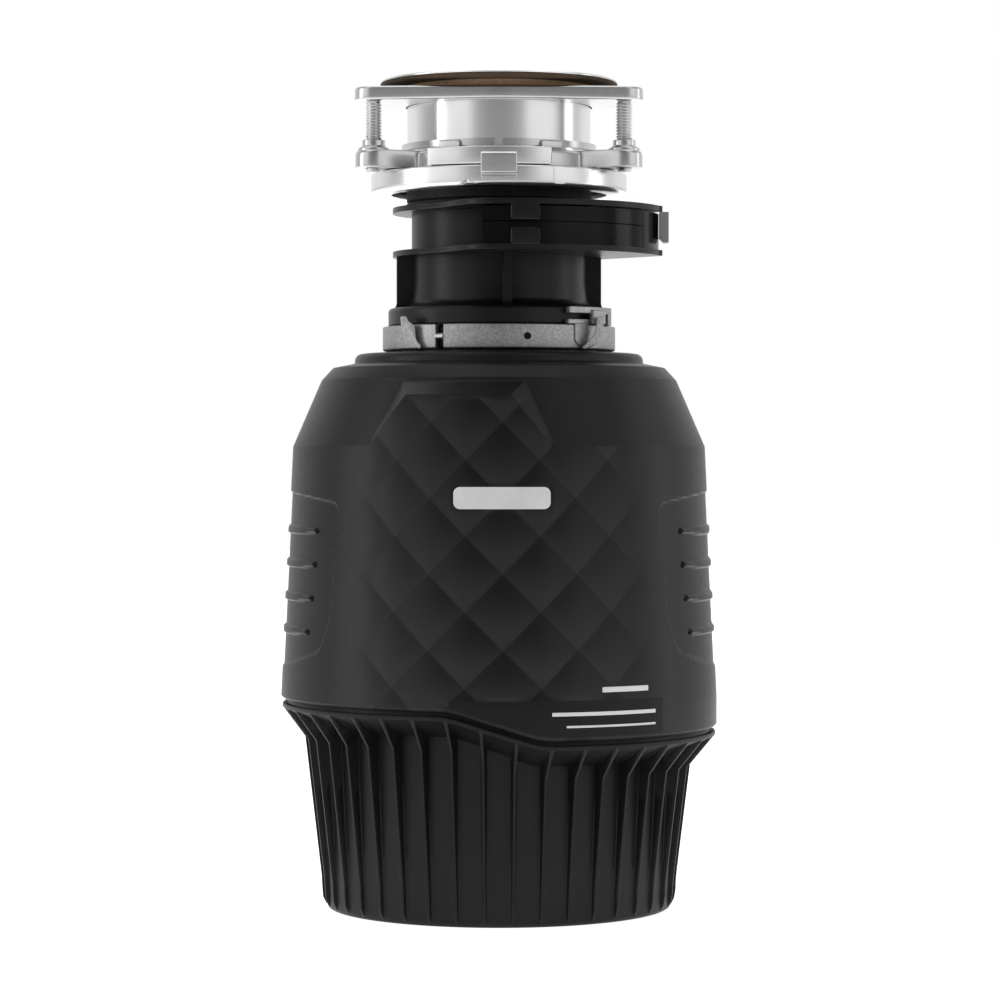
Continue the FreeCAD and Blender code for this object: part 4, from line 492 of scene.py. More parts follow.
# What each slot is made of: the kind of material, then its values
SLOT_LOOKS = {
    "shell_plastic": (quilted_plastic, 0.0085, 0.38, 0.26),
    "base_plastic": (moulded_plastic, 0.0060, 0.42, 0.20),
    "neck_plastic": (moulded_plastic, 0.0060, 0.34, 0.26, 1300.0),
    "sensor_plastic": (gloss_black,),
    "tab_plastic": (coloured_plastic, grey(0.22), grey(0.30), 0.42),
    "bright_steel": (metal, 0.88, 0.20, (1.0, 1.0, 0.05), 1400.0, 0.04, 0.000008),
    "screw_steel": (metal, 0.62, 0.30, (1.0, 1.0, 3.0), 900.0, 0.2),
    "flange_steel": (metal, 0.66, 0.26, (0.3, 0.3, 1.0), 900.0, 0.04, 0.00001),
    "ring_aluminium": (metal, 0.86, 0.26, (0.3, 0.3, 1.0), 900.0, 0.04, 0.00001),
    "zinc_steel": (galvanised,),
    "cast_aluminium": (metal, 0.60, 0.50, EVEN, 420.0, 0.05, 0.0001),
    "grind_steel": (metal, 0.66, 0.30, (1.0, 1.0, 0.1), 800.0),
    "lamination_steel": (banded, grey(0.08), grey(0.30), 900.0, 0.5, 1.0),
    "copper": (banded, (0.30, 0.10, 0.03), (0.72, 0.32, 0.14), 700.0, 0.38, 1.0),
    "black_rubber": (rubber,),
    "brown_fibre": (pressed_fibre,),
    "grey_foam": (foam,),
    "red_plastic": (coloured_plastic, (0.42, 0.015, 0.01), (0.60, 0.03, 0.02), 0.35),
    "board_green": (coloured_plastic, (0.01, 0.09, 0.03), (0.02, 0.16, 0.06), 0.4),
    "magnet_iron": (metal, 0.20, 0.55, EVEN, 500.0),
    "plate_grey": (coloured_plastic, grey(0.62), grey(0.72), 0.45),
}
SLOT_MATERIALS = {
    slot: make(slot.replace("_", " "), *values) for slot, (make, *values) in SLOT_LOOKS.items()
}


# Nodes whose moulded or pressed edges are rounded, with the rounding in millimetres
SOFT_EDGES = {
    "throat_neck": 0.6,
    "sensor_housing_upper": 0.9,
    "sensor_housing_lower": 0.9,
    "sensor_end_cap": 0.8,
    "sensor_latch_tab": 0.4,
    "discharge_flange": 0.4,
    "cover_handle": 1.2,
    "name_plate": 0.15,
}


def add_bevel(piece, width, angle):
    """Round a piece's edges that are sharper than an angle, by a width in millimetres."""
    bevel = piece.modifiers.new("soft edges", "BEVEL")
    bevel.width = width * MM
    bevel.segments = 3
    bevel.limit_method = "ANGLE"
    bevel.angle_limit = math.radians(angle)


def paint_cad_nodes():
    """Give every CAD node its slot's material, and soften the edges of the nodes listed in
    SOFT_EDGES.
    """
    for part in frame["record"]["subparts"]:
        node = frame["nodes"][part["node"]]
        node.data.materials.clear()
        node.data.materials.append(SLOT_MATERIALS[part["material_slot"]])
        if part["node"] in SOFT_EDGES:
            node.data.shade_smooth()
            node.data.set_sharp_from_angle(angle=math.radians(30.0))
            add_bevel(node, SOFT_EDGES[part["node"]], 50.0)


# --------------------------------------------------------------- mesh helpers

def finish_piece(piece, slot, nodes=(), sharp=30.0, body="housing"):
    """Shade a piece, give it its slot's material and tie it to its body."""
    piece.data.materials.clear()
    piece.data.materials.append(SLOT_MATERIALS[slot])
    piece.data.shade_smooth()
    piece.data.set_sharp_from_angle(angle=math.radians(sharp))
    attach(piece, body)
    if nodes:
        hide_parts(*nodes)


def mesh_piece(name, vertices_mm, faces):
    """New object from vertices in millimetres, with its faces turned outwards."""
    mesh = bpy.data.meshes.new(name)
    mesh.from_pydata([tuple(value * MM for value in vertex) for vertex in vertices_mm], [], faces)
    mesh.validate()
    piece = bpy.data.objects.new(name, mesh)
    bpy.context.scene.collection.objects.link(piece)
    work = bmesh.new()
    work.from_mesh(mesh)
    bmesh.ops.remove_doubles(work, verts=work.verts, dist=1e-7)
    bmesh.ops.recalc_face_normals(work, faces=work.faces)
    work.to_mesh(mesh)
    work.free()
    return piece


def ring_xy(radius, angle):
    turn = math.radians(angle)
    return radius * math.sin(turn), -radius * math.cos(turn)


def at_angle(angle, level, radius):
    """Point at an angle round the axis, a height and a radius."""
    return (*ring_xy(radius, angle), level)


def mix(first, second, share):
    return first + share * (second - first)


def part_way(value, low, high):
    """Share of the way from low to high, between 0 and 1."""
    return min(max((value - low) / (high - low), 0.0), 1.0)


def smooth_step(value, low, high):
    share = part_way(value, low, high)
    return share * share * (3 - 2 * share)


def ring_skin(name, rings, closed=True):
    """Skin through rings of points: the last ring joins the first, or both ends are capped."""
    rows = len(rings)
    columns = len(rings[0])
    faces = []
    for row in range(rows if closed else rows - 1):
        following = (row + 1) % rows
        for column in range(columns):
            beside = (column + 1) % columns
            faces.append((row * columns + column, row * columns + beside,
                          following * columns + beside, following * columns + column))
    if not closed:
        faces.append(tuple(range(columns)))
        faces.append(tuple(range((rows - 1) * columns, rows * columns)))
    return mesh_piece(name, [point for ring in rings for point in ring], faces)


def rounded_outline(points, steps=4):
    """Outline whose corners are rounded; a point is (across, up) or (across, up, radius)."""
    result = []
    count = len(points)
    for number, point in enumerate(points):
        radius = point[2] if len(point) > 2 else 0.0
        corner = Vector(point[:2])
        if radius == 0.0:
            result.append(tuple(corner))
            continue
        before = (Vector(points[number - 1][:2]) - corner).normalized()
        after = (Vector(points[(number + 1) % count][:2]) - corner).normalized()
        half = 0.5 * before.angle(after)
        reach = radius / math.tan(half)
        start = corner + before * reach
        finish = corner + after * reach
        centre = corner + (before + after).normalized() * (radius / math.sin(half))
        for step in range(steps + 1):
            spoke = (start - centre).lerp(finish - centre, step / steps).normalized() * radius
            result.append(tuple(centre + spoke))
    return result


def lathe(name, points, segments=192, steps=4):
    """Ring with a rounded outline of (radius, height) points."""
    angles = [360.0 * number / segments for number in range(segments)]
    return ring_skin(name, [[at_angle(angle, level, radius) for angle in angles]
                            for radius, level in rounded_outline(points, steps)])


def apply_modifiers(piece):
    """Replace a piece's mesh with what its modifiers make of it."""
    depsgraph = bpy.context.evaluated_depsgraph_get()
    mesh = bpy.data.meshes.new_from_object(piece.evaluated_get(depsgraph))
    piece.modifiers.clear()
    piece.data = mesh


def cut_away(piece, cutters):
    """Cut solids out of a piece, and drop the cutters."""
    for cutter in cutters:
        modifier = piece.modifiers.new("cut", "BOOLEAN")
        modifier.operation = "DIFFERENCE"
        modifier.solver = "EXACT"
        modifier.object = cutter
    apply_modifiers(piece)
    for cutter in cutters:
        bpy.data.objects.remove(cutter, do_unlink=True)


def prism(name, outline, low, high, place=lambda across, up, level: (across, up, level)):
    """Straight solid between two levels on a closed outline."""
    count = len(outline)
    vertices = [place(across, up, level) for level in (low, high) for across, up in outline]
    faces = [tuple(range(count)), tuple(range(2 * count - 1, count - 1, -1))]
    for number in range(count):
        beside = (number + 1) % count
        faces.append((number, beside, count + beside, count + number))
    return mesh_piece(name, vertices, faces)


def circle_outline(radius, centre=(0.0, 0.0), segments=48):
    points = []
    for number in range(segments):
        turn = 2 * math.pi * number / segments
        points.append((centre[0] + radius * math.cos(turn), centre[1] + radius * math.sin(turn)))
    return points


# ---------------------------------------------------------------- upper shell

def corner_ease(value):
    """Straight ramp that starts softly at zero."""
    if value <= -WAVE_ROUND:
        return 0.0
    if value >= WAVE_ROUND:
        return value
    return (value + WAVE_ROUND) ** 2 / (4 * WAVE_ROUND)


def wave_fall(across):
    """How far the seam has dropped at a distance to the right of the axis."""
    slope = WAVE_DROP / (WAVE_RIGHT_X - WAVE_LEFT_X)
    return slope * (corner_ease(across - WAVE_LEFT_X) - corner_ease(across - WAVE_RIGHT_X))


def seam_level(angle, radius):
    return SEAM_HIGH_Z - wave_fall(radius * math.sin(math.radians(angle)))


def signed_turn(angle, about=0.0):
    """Angle from a direction, between -180 and 180 degrees."""
    return (angle - about + 180.0) % 360.0 - 180.0


def wall_radius(level):
    slope = (SHELL_R - CREASE_R) / (CREASE_Z - BEVEL_Z)
    return SHELL_R - slope * max(level - BEVEL_Z, 0.0)


def cone_radius(level):
    return mix(CREASE_R, CONE_TOP_R, (level - CREASE_Z) / (CONE_TOP_Z - CREASE_Z))


def dormer_radius(level):
    if level <= DORMER_Z:
        return mix(CREASE_R, DORMER_R, part_way(level, CREASE_Z, DORMER_Z))
    return mix(DORMER_R, DORMER_BACK_R, part_way(level, DORMER_Z, DORMER_BACK_Z))


def dormer_half(level):
    if level > DORMER_Z:
        return mix(DORMER_HEAD, DORMER_BACK, part_way(level, DORMER_Z, DORMER_BACK_Z))
    return mix(DORMER_FOOT, DORMER_HEAD, part_way(level, CREASE_Z, DORMER_Z))


def dormer_reach(level):
    """Half angle at which the dormer's side facets meet the cone."""
    return mix(DORMER_FOOT + DORMER_SIDE, DORMER_BACK + 0.4,
               part_way(level, CREASE_Z, DORMER_BACK_Z))


def nearest_dormer(angle):
    """Angle from the middle of the nearest dormer, and that middle."""
    front = signed_turn(angle, DORMER_AT)
    if abs(front) <= 90.0:
        return front, DORMER_AT
    return signed_turn(angle, DORMER_AT + 180.0), DORMER_AT + 180.0


def lean_with_dormer(angle, level):
    """Angle of a column at a height: columns lean in with the dormer's sides."""
    off, middle = nearest_dormer(angle)
    size = abs(off)
    half = dormer_half(level)
    reach = dormer_reach(level)
    rest = DORMER_FOOT + DORMER_SIDE
    if size >= 80.0:
        return angle
    if size <= DORMER_FOOT:
        leaned = size * half / DORMER_FOOT
    elif size <= rest:
        leaned = half + (reach - half) * (size - DORMER_FOOT) / DORMER_SIDE
    else:
        leaned = 80.0 - (80.0 - size) * (80.0 - reach) / (80.0 - rest)
    return middle + math.copysign(leaned, off)


def quilt_rise(angle, level):
    """Height of the quilted cushions over the wall."""
    near = signed_turn(angle)
    if abs(near) > 90.0:
        near = signed_turn(angle, 180.0)
    fade = 1.0 - smooth_step(abs(near), QUILT_EDGE - 16.0, QUILT_EDGE)
    if LABEL_LEFT - 1.0 < near < LABEL_RIGHT + 1.0:
        flat_top = LABEL_TOP_Z if near < MARK_LEFT else MARK_TOP_Z
        fade *= smooth_step(level, flat_top, flat_top + 2.0)
    if abs(near - NAME_AT) < 14.0:
        off = max(abs(near - NAME_AT) * 1.74 - 22.0, abs(level - NAME_Z) - 5.0)
        fade *= smooth_step(off, 0.0, 1.5)
    if fade == 0.0:
        return 0.0
    across = (near - QUILT_AT) / QUILT_HALF_TURN
    up = (level - QUILT_Z) / QUILT_HALF_HEIGHT
    first = 2.0 * (((across + up) * 0.5) % 1.0) - 1.0
    second = 2.0 * (((across - up) * 0.5) % 1.0) - 1.0
    return fade * QUILT_RISE * ((1 - first * first) * (1 - second * second) - 0.44)


def side_angle(angle):
    """Angle from the nearer side of the shell, 0 at +X or -X."""
    return abs(abs(signed_turn(angle)) - 90.0)


def panel_edge(level):
    """Half angle of a side panel at a height: it widens towards its top."""
    low = smooth_step(level, PANEL_LOW_Z + 2, PANEL_LOW_Z + 32)
    return 36.0 + 4.8 * low + 1.6 * smooth_step(level, PANEL_LOW_Z + 30, PANEL_TOP_Z)


def panel_drop(angle, level):
    """Depth of the side panel's recess, with its ridges and their end dimples."""
    off = side_angle(angle)
    if off > 50.0 or level < PANEL_LOW_Z - 3 or level > PANEL_TOP_Z + 3:
        return 0.0
    millimetres = math.radians(1.0) * SHELL_R
    side = (panel_edge(level) - off) * millimetres
    top = PANEL_TOP_Z - 4.5 * (off / 40.0) ** 2 - level
    low = level - (PANEL_LOW_Z + 10.0 * (off / 38.0) ** 2)
    corner = 5.0
    reach = min(side, top, low)
    if side < corner and (top < corner or low < corner):
        near = min(top, low)
        away = math.hypot(max(corner - side, 0.0), max(corner - near, 0.0))
        reach = corner - away
    depth = PANEL_DEPTH * smooth_step(reach, -0.3, 0.9)
    for row, start in enumerate(RIDGE_STARTS):
        ridge_z = RIDGE_Z + row * RIDGE_STEP
        if abs(level - ridge_z) > 3.0:
            continue
        run = (90.0 - start - off) * millimetres
        half = 1.0 + 0.8 * smooth_step(run, 0.0, 22.0)
        body = smooth_step(half + 0.45 - abs(level - ridge_z), 0.0, 0.9)
        depth -= (RIDGE_RISE + PANEL_DEPTH * 0.5) * body * smooth_step(run, -0.6, 0.6)
        hole = math.hypot(run + 1.2, level - ridge_z)
        depth += 1.1 * (1.0 - smooth_step(hole, 0.7, 1.3))
    return depth


def shell_columns():
    """Angles of the shell's columns: close together where there is detail."""
    quilt_step = QUILT_HALF_TURN / 18.0
    angles = set()
    for centre in (0.0, 180.0):
        count = int(QUILT_EDGE / quilt_step) + 4
        for number in range(-count, count + 1):
            angles.add(round((centre + QUILT_AT + number * quilt_step) % 360.0, 3))
    for side in (90.0, 270.0):
        for number in range(-182, 183):
            off = number * 0.25
            fine = 27.5 <= abs(off) <= 33.5 or 35.0 <= abs(off) <= 43.0
            if fine or (abs(off) < 45.0 and number % 5 == 0):
                angles.add(round(side + off, 3))
    for middle in (DORMER_AT, DORMER_AT + 180.0):
        for sign in (-1.0, 1.0):
            for nudge in (-0.3, 0.0, 0.5 * DORMER_SIDE, DORMER_SIDE, DORMER_SIDE + 0.4):
                angles.add(round((middle + sign * (DORMER_FOOT + nudge)) % 360.0, 3))
    return sorted(angles)


def make_shell():
    """Upper shell: quilted front and back, ridged side panels, two dormers."""
    columns = shell_columns()
    seam = [seam_level(angle, SHELL_R) for angle in columns]
    rings = [[at_angle(angle, low + rise, SHELL_R - inset) for angle, low in zip(columns, seam)]
             for rise, inset in SEAM_ROUND]
    for row in range(WALL_ROWS):
        ring = []
        for angle, low in zip(columns, seam):
            level = low + 1.3 + (CREASE_Z - 0.5 - low - 1.3) * row / (WALL_ROWS - 1)
            fade = smooth_step(level, low + 1.3, low + 3.5)
            if abs(nearest_dormer(angle)[0]) > DORMER_FOOT:
                fade *= smooth_step(CREASE_Z - level, 0.5, 3.5)
            relief = fade * (quilt_rise(angle, level) - panel_drop(angle, level))
            ring.append(at_angle(angle, level, min(wall_radius(level) + relief, SHELL_R)))
        rings.append(ring)
    heights = [CREASE_Z + 0.1, CREASE_Z + 0.6]
    heights += [CREASE_Z + 0.6 + (DORMER_Z - CREASE_Z - 0.9) * n / 26 for n in range(1, 27)]
    heights += [DORMER_Z + 0.1, DORMER_Z + 0.6]
    heights += [DORMER_Z + 0.6 + (DORMER_BACK_Z - DORMER_Z - 0.9) * n / 5 for n in range(1, 6)]
    heights += [DORMER_BACK_Z + 0.2, CONE_TOP_Z - 0.4]
    for level in heights:
        ring = []
        for angle in columns:
            leaned = lean_with_dormer(angle, level)
            off = abs(nearest_dormer(angle)[0])
            outside = part_way(off, DORMER_FOOT, DORMER_FOOT + DORMER_SIDE)
            face = max(dormer_radius(level), cone_radius(level))
            face += quilt_rise(leaned, level) * smooth_step(DORMER_Z - level, 0.3, 3.0)
            ring.append(at_angle(leaned, level, mix(face, cone_radius(level), outside)))
        rings.append(ring)
    for radius, level in rounded_outline(CROWN):
        rings.append([at_angle(lean_with_dormer(angle, CONE_TOP_Z) if level > CREASE_Z else angle,
                               level, radius) for angle in columns])
    piece = ring_skin("shell_moulding", rings)
    window = rounded_outline([(across, up, 16.0) for across, up in WINDOW_CORNERS], 6)
    cut_away(piece, [prism("window_cutter", window, 80.0, 125.0, lambda x, z, y: (x, y, z))])
    finish_piece(piece, "shell_plastic", ("upper_shell",), 28.0)


# ---------------------------------------------------------------- ribbed base

# Columns across one rib pitch: degrees from the rib, and the share of its height
RIB_COLUMNS = (
    (-0.95, 0.02), (-0.66, 0.14), (-0.46, 0.90), (-0.34, 1.0),
    (0.34, 1.0), (0.46, 0.90), (0.66, 0.14), (0.95, 0.02), (2.6, 0.0), (4.5, 0.0), (6.4, 0.0),
)


def make_base():
    """Base: cup on a ring foot, a waved collar and ribs that turn out under it."""
    pitch = 360.0 / RIB_COUNT
    columns = [((number + 0.5) * pitch + off, share)
               for number in range(RIB_COUNT) for off, share in RIB_COLUMNS]
    falls = [wave_fall(COLLAR_R * math.sin(math.radians(angle))) for angle, share in columns]

    def ring_of(spot):
        ring = []
        for (angle, share), fall in zip(columns, falls):
            radius, level = spot(share, fall)
            ring.append(at_angle(angle, level, radius))
        return ring

    def wall_spot(height):
        def spot(share, fall):
            level = height * (NECK_IN_Z - fall)
            wall = mix(FOOT_R, BASE_TOP_R, level / NECK_IN_Z)
            rib_z = height * (RIB_BEND_Z - fall)
            if rib_z < RIB_HEEL_Z:
                rib = mix(RIB_FOOT_R, RIB_HEEL_R, rib_z / RIB_HEEL_Z)
            else:
                climb = (rib_z - RIB_HEEL_Z) / (RIB_BEND_Z - fall - RIB_HEEL_Z)
                rib = mix(RIB_HEEL_R, RIB_BEND_R - RIB_TUCK * fall, climb)
            share *= smooth_step(level, *RIB_FADE)
            return mix(wall, rib, share), mix(level, rib_z, share)
        return spot

    def flare_spot(height):
        def spot(share, fall):
            wall = mix(BASE_TOP_R, COLLAR_R - 0.7, height)
            wall_z = mix(NECK_IN_Z, COLLAR_Z, height) - fall
            rib = mix(RIB_BEND_R - RIB_TUCK * fall, COLLAR_R - 0.3, height)
            rib_z = mix(RIB_BEND_Z, COLLAR_Z, height) - fall
            return mix(wall, rib, share), mix(wall_z, rib_z, share)
        return spot

    def plain_spot(radius, level, falling):
        return lambda share, fall: (radius, level - falling * fall)

    rings = [ring_of(plain_spot(FOOT_R - inset, level, 0.0)) for inset, level in FOOT_ROUND]
    heights = (0.024, 0.034, 0.048, *(number / 16 for number in range(1, 16)), 0.985, 1.0)
    rings += [ring_of(wall_spot(height)) for height in heights]
    rings += [ring_of(flare_spot(height)) for height in (0.04, 0.2, 0.4, 0.6, 0.8, 0.96, 1.0)]
    rings += [ring_of(plain_spot(radius, level, 1.0)) for radius, level in COLLAR]
    rings += [ring_of(plain_spot(radius, level, 0.0)) for radius, level in BASE_FLOOR]
    piece = ring_skin("base_moulding", rings)
    outlines = [circle_outline(radius, (across, back), 40) for across, back, radius in FLOOR_HOLES]
    outlines.append(rounded_outline([(across, back, 2.0) for across, back in HATCH_CORNERS]))
    cut_away(piece, [prism("floor_cutter", outline, -5.0, 12.0) for outline in outlines])
    finish_piece(piece, "base_plastic", ("ribbed_base",), 32.0)


# ------------------------------------------------------- screws and flanges

def make_screw(side, angle):
    """Set screw with a rolled thread and a slotted foot."""
    low, high = node_mm("mounting_screw_" + side)
    across, back = ring_xy(EAR_AT_R, angle)
    columns = 28
    count = int((high[2] - low[2]) / (THREAD_PITCH / 8.0))
    rings = []
    for row in range(count + 1):
        level = low[2] + (high[2] - low[2]) * row / count
        ease = max(min(level - low[2], high[2] - level) / 1.2, 0.0)
        ring = []
        for column in range(columns):
            phase = (level / THREAD_PITCH - column / columns) % 1.0
            crest = 1.0 - abs(2.0 * phase - 1.0)
            profile = SCREW_R - THREAD_DEPTH * (1.0 - smooth_step(crest, 0.1, 0.9))
            profile = min(profile, SCREW_R - THREAD_DEPTH + THREAD_DEPTH * ease)
            x, y = ring_xy(profile, 360.0 * column / columns)
            ring.append((across + x, back + y, level))
        rings.append(ring)
    piece = ring_skin("threaded_screw_" + side, rings, closed=False)
    slot = prism("slot_cutter", [(-5, -0.5), (5, -0.5), (5, 0.5), (-5, 0.5)],
                 low[2] - 1, low[2] + 1.5, lambda x, y, z: (across + x, back + y, z))
    cut_away(piece, [slot])
    finish_piece(piece, "screw_steel", ("mounting_screw_" + side,), 50.0, "screw_" + side)


def ear_off(angle):
    """Angle from the nearest screw ear; the ears are at 60, 180 and 300 degrees."""
    return abs((angle % 120.0) - 60.0)


def triangle_radius(angle):
    """Outline of the backup flange: three round tips joined by straight sides."""
    off = math.radians(ear_off(angle))
    normal = math.acos((WAIST_R - TIP_R) / EAR_AT_R)
    touch = math.atan2(TIP_R * math.sin(normal), EAR_AT_R + TIP_R * math.cos(normal))
    if off <= touch:
        return EAR_AT_R * math.cos(off) + math.sqrt(TIP_R ** 2 - (EAR_AT_R * math.sin(off)) ** 2)
    if off <= normal:
        return WAIST_R / math.cos(off - normal)
    return WAIST_R


def eared_radius(angle):
    """Outline of the mounting ring: a round waist with three ears that blend into it."""
    off = math.radians(max(ear_off(angle), 0.001))
    if off <= math.asin(EAR_R / EAR_AT_R):
        ear = EAR_AT_R * math.cos(off) + math.sqrt(EAR_R ** 2 - (EAR_AT_R * math.sin(off)) ** 2)
    else:
        ear = EAR_R / math.sin(off)
    bulge = max(ear, WAIST_R)
    sum_of = sum(math.exp((radius - bulge) * EAR_BLEND) for radius in (ear, WAIST_R))
    return bulge + math.log(sum_of) / EAR_BLEND


def plate_ring(name, outline, bore, low, high, round_top, round_low):
    """Flat ring with a free outline, a round bore and rounded outer edges."""
    turns = [math.radians(90.0 * step / 5) for step in range(6)]
    profile = [(0.0, None, low), (0.5, None, low)]
    profile += [(1.0, round_low * (1 - math.sin(turn)), low + round_low * (1 - math.cos(turn)))
                for turn in turns]
    profile += [(1.0, round_top * (1 - math.cos(turn)), high - round_top * (1 - math.sin(turn)))
                for turn in turns]
    profile += [(0.5, None, high), (0.0, None, high)]
    edges = [(number * 0.5, outline(number * 0.5)) for number in range(720)]
    rings = []
    for share, inset, level in profile:
        rings.append([at_angle(
            angle, level,
            edge - inset if inset is not None else mix(bore, edge - 4.0, share),
        ) for angle, edge in edges])
    return ring_skin(name, rings)


def make_backup_plate():
    low, high = node_mm("backup_flange")
    piece = plate_ring("backup_plate", triangle_radius, PLATE_BORE_R, low[2], high[2], 1.6, 1.2)
    finish_piece(piece, "flange_steel", ("backup_flange",), 40.0)


def make_mounting_plate():
    """Mounting ring: ears with a boss round each screw, and a stepped top."""
    low, high = node_mm("mounting_ring")
    top = high[2] - 4.8
    hole_r = SCREW_R + 0.1
    piece = plate_ring("mounting_plate", eared_radius, PLATE_BORE_R, low[2], top, 2.4, 0.8)
    cut_away(piece, [
        prism("ear_cutter", circle_outline(hole_r, ring_xy(EAR_AT_R, angle), 32),
              low[2] - 2.0, high[2] + 2.0) for angle in (60.0, 180.0, 300.0)])
    finish_piece(piece, "flange_steel", ("mounting_ring",), 40.0)
    front_section = box_section(47.5, RING_FRONT_R, low[2] + 0.1, top, 0.7)
    front = sweep_arc("mounting_ring_front", front_section, -33.8, 24.2, 80, inset=0.5)
    finish_piece(front, "ring_aluminium")
    for name, angle in SCREW_ANGLES:
        across, back = ring_xy(EAR_AT_R, angle)
        boss = lathe("screw_boss_" + name, [
            (hole_r, top - 0.6), (7.4, top - 0.6), (7.4, top + 0.8, 0.7),
            (5.4, top + 2.0, 0.5), (5.4, high[2], 0.5), (hole_r, high[2]),
        ], 48, 3)
        boss.data.transform(Matrix.Translation((across * MM, back * MM, 0.0)))
        finish_piece(boss, "flange_steel", sharp=35.0)


# --------------------------------------------------------- label on the shell

def make_label():
    """Smooth dark patch over the low part of the seam, and three plain light stripes."""
    rows = 10
    angles = [LABEL_LEFT + (LABEL_RIGHT - LABEL_LEFT) * n / 60 for n in range(61)]
    outer, inner = [], []
    for row in range(rows + 1):
        for angle in angles:
            low = seam_level(angle, SHELL_R) + 2.0
            level = low + (LABEL_TOP_Z - low) * row / rows
            outer.append(at_angle(angle, level, wall_radius(level) + LABEL_THICK))
            inner.append(at_angle(angle, level, wall_radius(level) - 0.6))
    piece = mesh_piece("label_patch", *sheet_solid(outer, inner, rows + 1, len(angles)))
    finish_piece(piece, "base_plastic")
    for name, start, finish, level, half in STRIPES:
        wall = wall_radius(level)
        outline = rounded_outline([(wall - 0.4, level - half), (wall + 0.3, level - half, 0.08),
                                   (wall + 0.3, level + half, 0.08), (wall - 0.4, level + half)])
        finish_piece(sweep_arc(name, outline, start, finish, 40), "plate_grey")


def sheet_solid(outer, inner, rows, columns):
    """Vertices and faces of a thin sheet between two grids of points."""
    faces = []
    shift = rows * columns
    for row in range(rows - 1):
        for column in range(columns - 1):
            corner = row * columns + column
            square = (corner, corner + 1, corner + columns + 1, corner + columns)
            faces += [square, tuple(shift + number for number in reversed(square))]
    edge = list(range(columns))
    edge += [row * columns + columns - 1 for row in range(1, rows)]
    edge += [(rows - 1) * columns + column for column in range(columns - 2, -1, -1)]
    edge += [row * columns for row in range(rows - 2, 0, -1)]
    for corner, beside in zip(edge, edge[1:] + edge[:1]):
        faces.append((corner, beside, shift + beside, shift + corner))
    return outer + inner, faces


# ------------------------------------------------------------- neck and mount

def sweep_arc(name, outline, start, finish, steps, centre=(0.0, 0.0), inset=0.25):
    """Solid with a (radius, height) section, swept between two angles with eased ends."""
    middle_r = sum(point[0] for point in outline) / len(outline)
    middle_z = sum(point[1] for point in outline) / len(outline)
    ease = math.degrees(inset / middle_r)
    angles = [start, start + ease]
    angles += [start + ease + (finish - start - 2 * ease) * n / steps for n in range(1, steps)]
    angles += [finish - ease, finish]
    rings = []
    for angle in angles:
        ring = []
        for radius, level in outline:
            if angle in (start, finish):
                radius += max(min(middle_r - radius, inset), -inset)
                level += max(min(middle_z - level, inset), -inset)
            across, back = ring_xy(radius, angle)
            ring.append((across + centre[0], back + centre[1], level))
        rings.append(ring)
    return ring_skin(name, rings, closed=False)


def box_section(inner, outer, low, high, radius):
    return rounded_outline([
        (inner, low, radius), (outer, low, radius), (outer, high, radius), (inner, high, radius)])


def radial_plate(name, angle, outline, width):
    """Upright plate that stands out from the axis, with a (radius, height) outline."""
    turn = math.radians(angle)

    def place(radius, level, side):
        return (radius * math.sin(turn) + side * math.cos(turn),
                -radius * math.cos(turn) + side * math.sin(turn), level)

    return prism(name, rounded_outline(outline, 8), -0.5 * width, 0.5 * width, place)


def soften(piece, width):
    add_bevel(piece, width, 40.0)
    apply_modifiers(piece)


def make_sink_flange():
    """Bright drawn flange: a long sleeve under a shallow dished rim."""
    low, high = node_mm("sink_flange")
    rim = high[2]
    piece = lathe("sink_flange_pressing", [
        (SLEEVE_BORE_R, low[2], 0.5), (SLEEVE_R, low[2], 0.5), (SLEEVE_R, rim - 2.4, 2.0),
        (RIM_R - 0.9, rim - 1.5, 0.4), (RIM_R - 0.5, rim - 0.7, 0.3), (RIM_R - 1.3, rim, 0.4),
        (SLEEVE_R + 3.0, rim, 1.0), (SLEEVE_BORE_R, rim - 5.0, 3.0),
    ], 240, 6)
    finish_piece(piece, "bright_steel", ("sink_flange",), 45.0)
    gasket = lathe("fibre_gasket_ring", [
        (SLEEVE_R + 0.3, rim - 6.3), (46.0, rim - 6.3, 0.3), (46.0, rim - 3.3, 0.2),
        (RIM_R - 0.9, rim - 3.0, 0.5), (RIM_R - 0.1, rim - 1.2, 0.3), (RIM_R - 0.9, rim - 1.4),
        (SLEEVE_R + 2.2, rim - 2.3), (SLEEVE_R + 0.3, rim - 4.0),
    ], 240, 4)
    finish_piece(gasket, "brown_fibre", ("fibre_gasket",), 40.0)


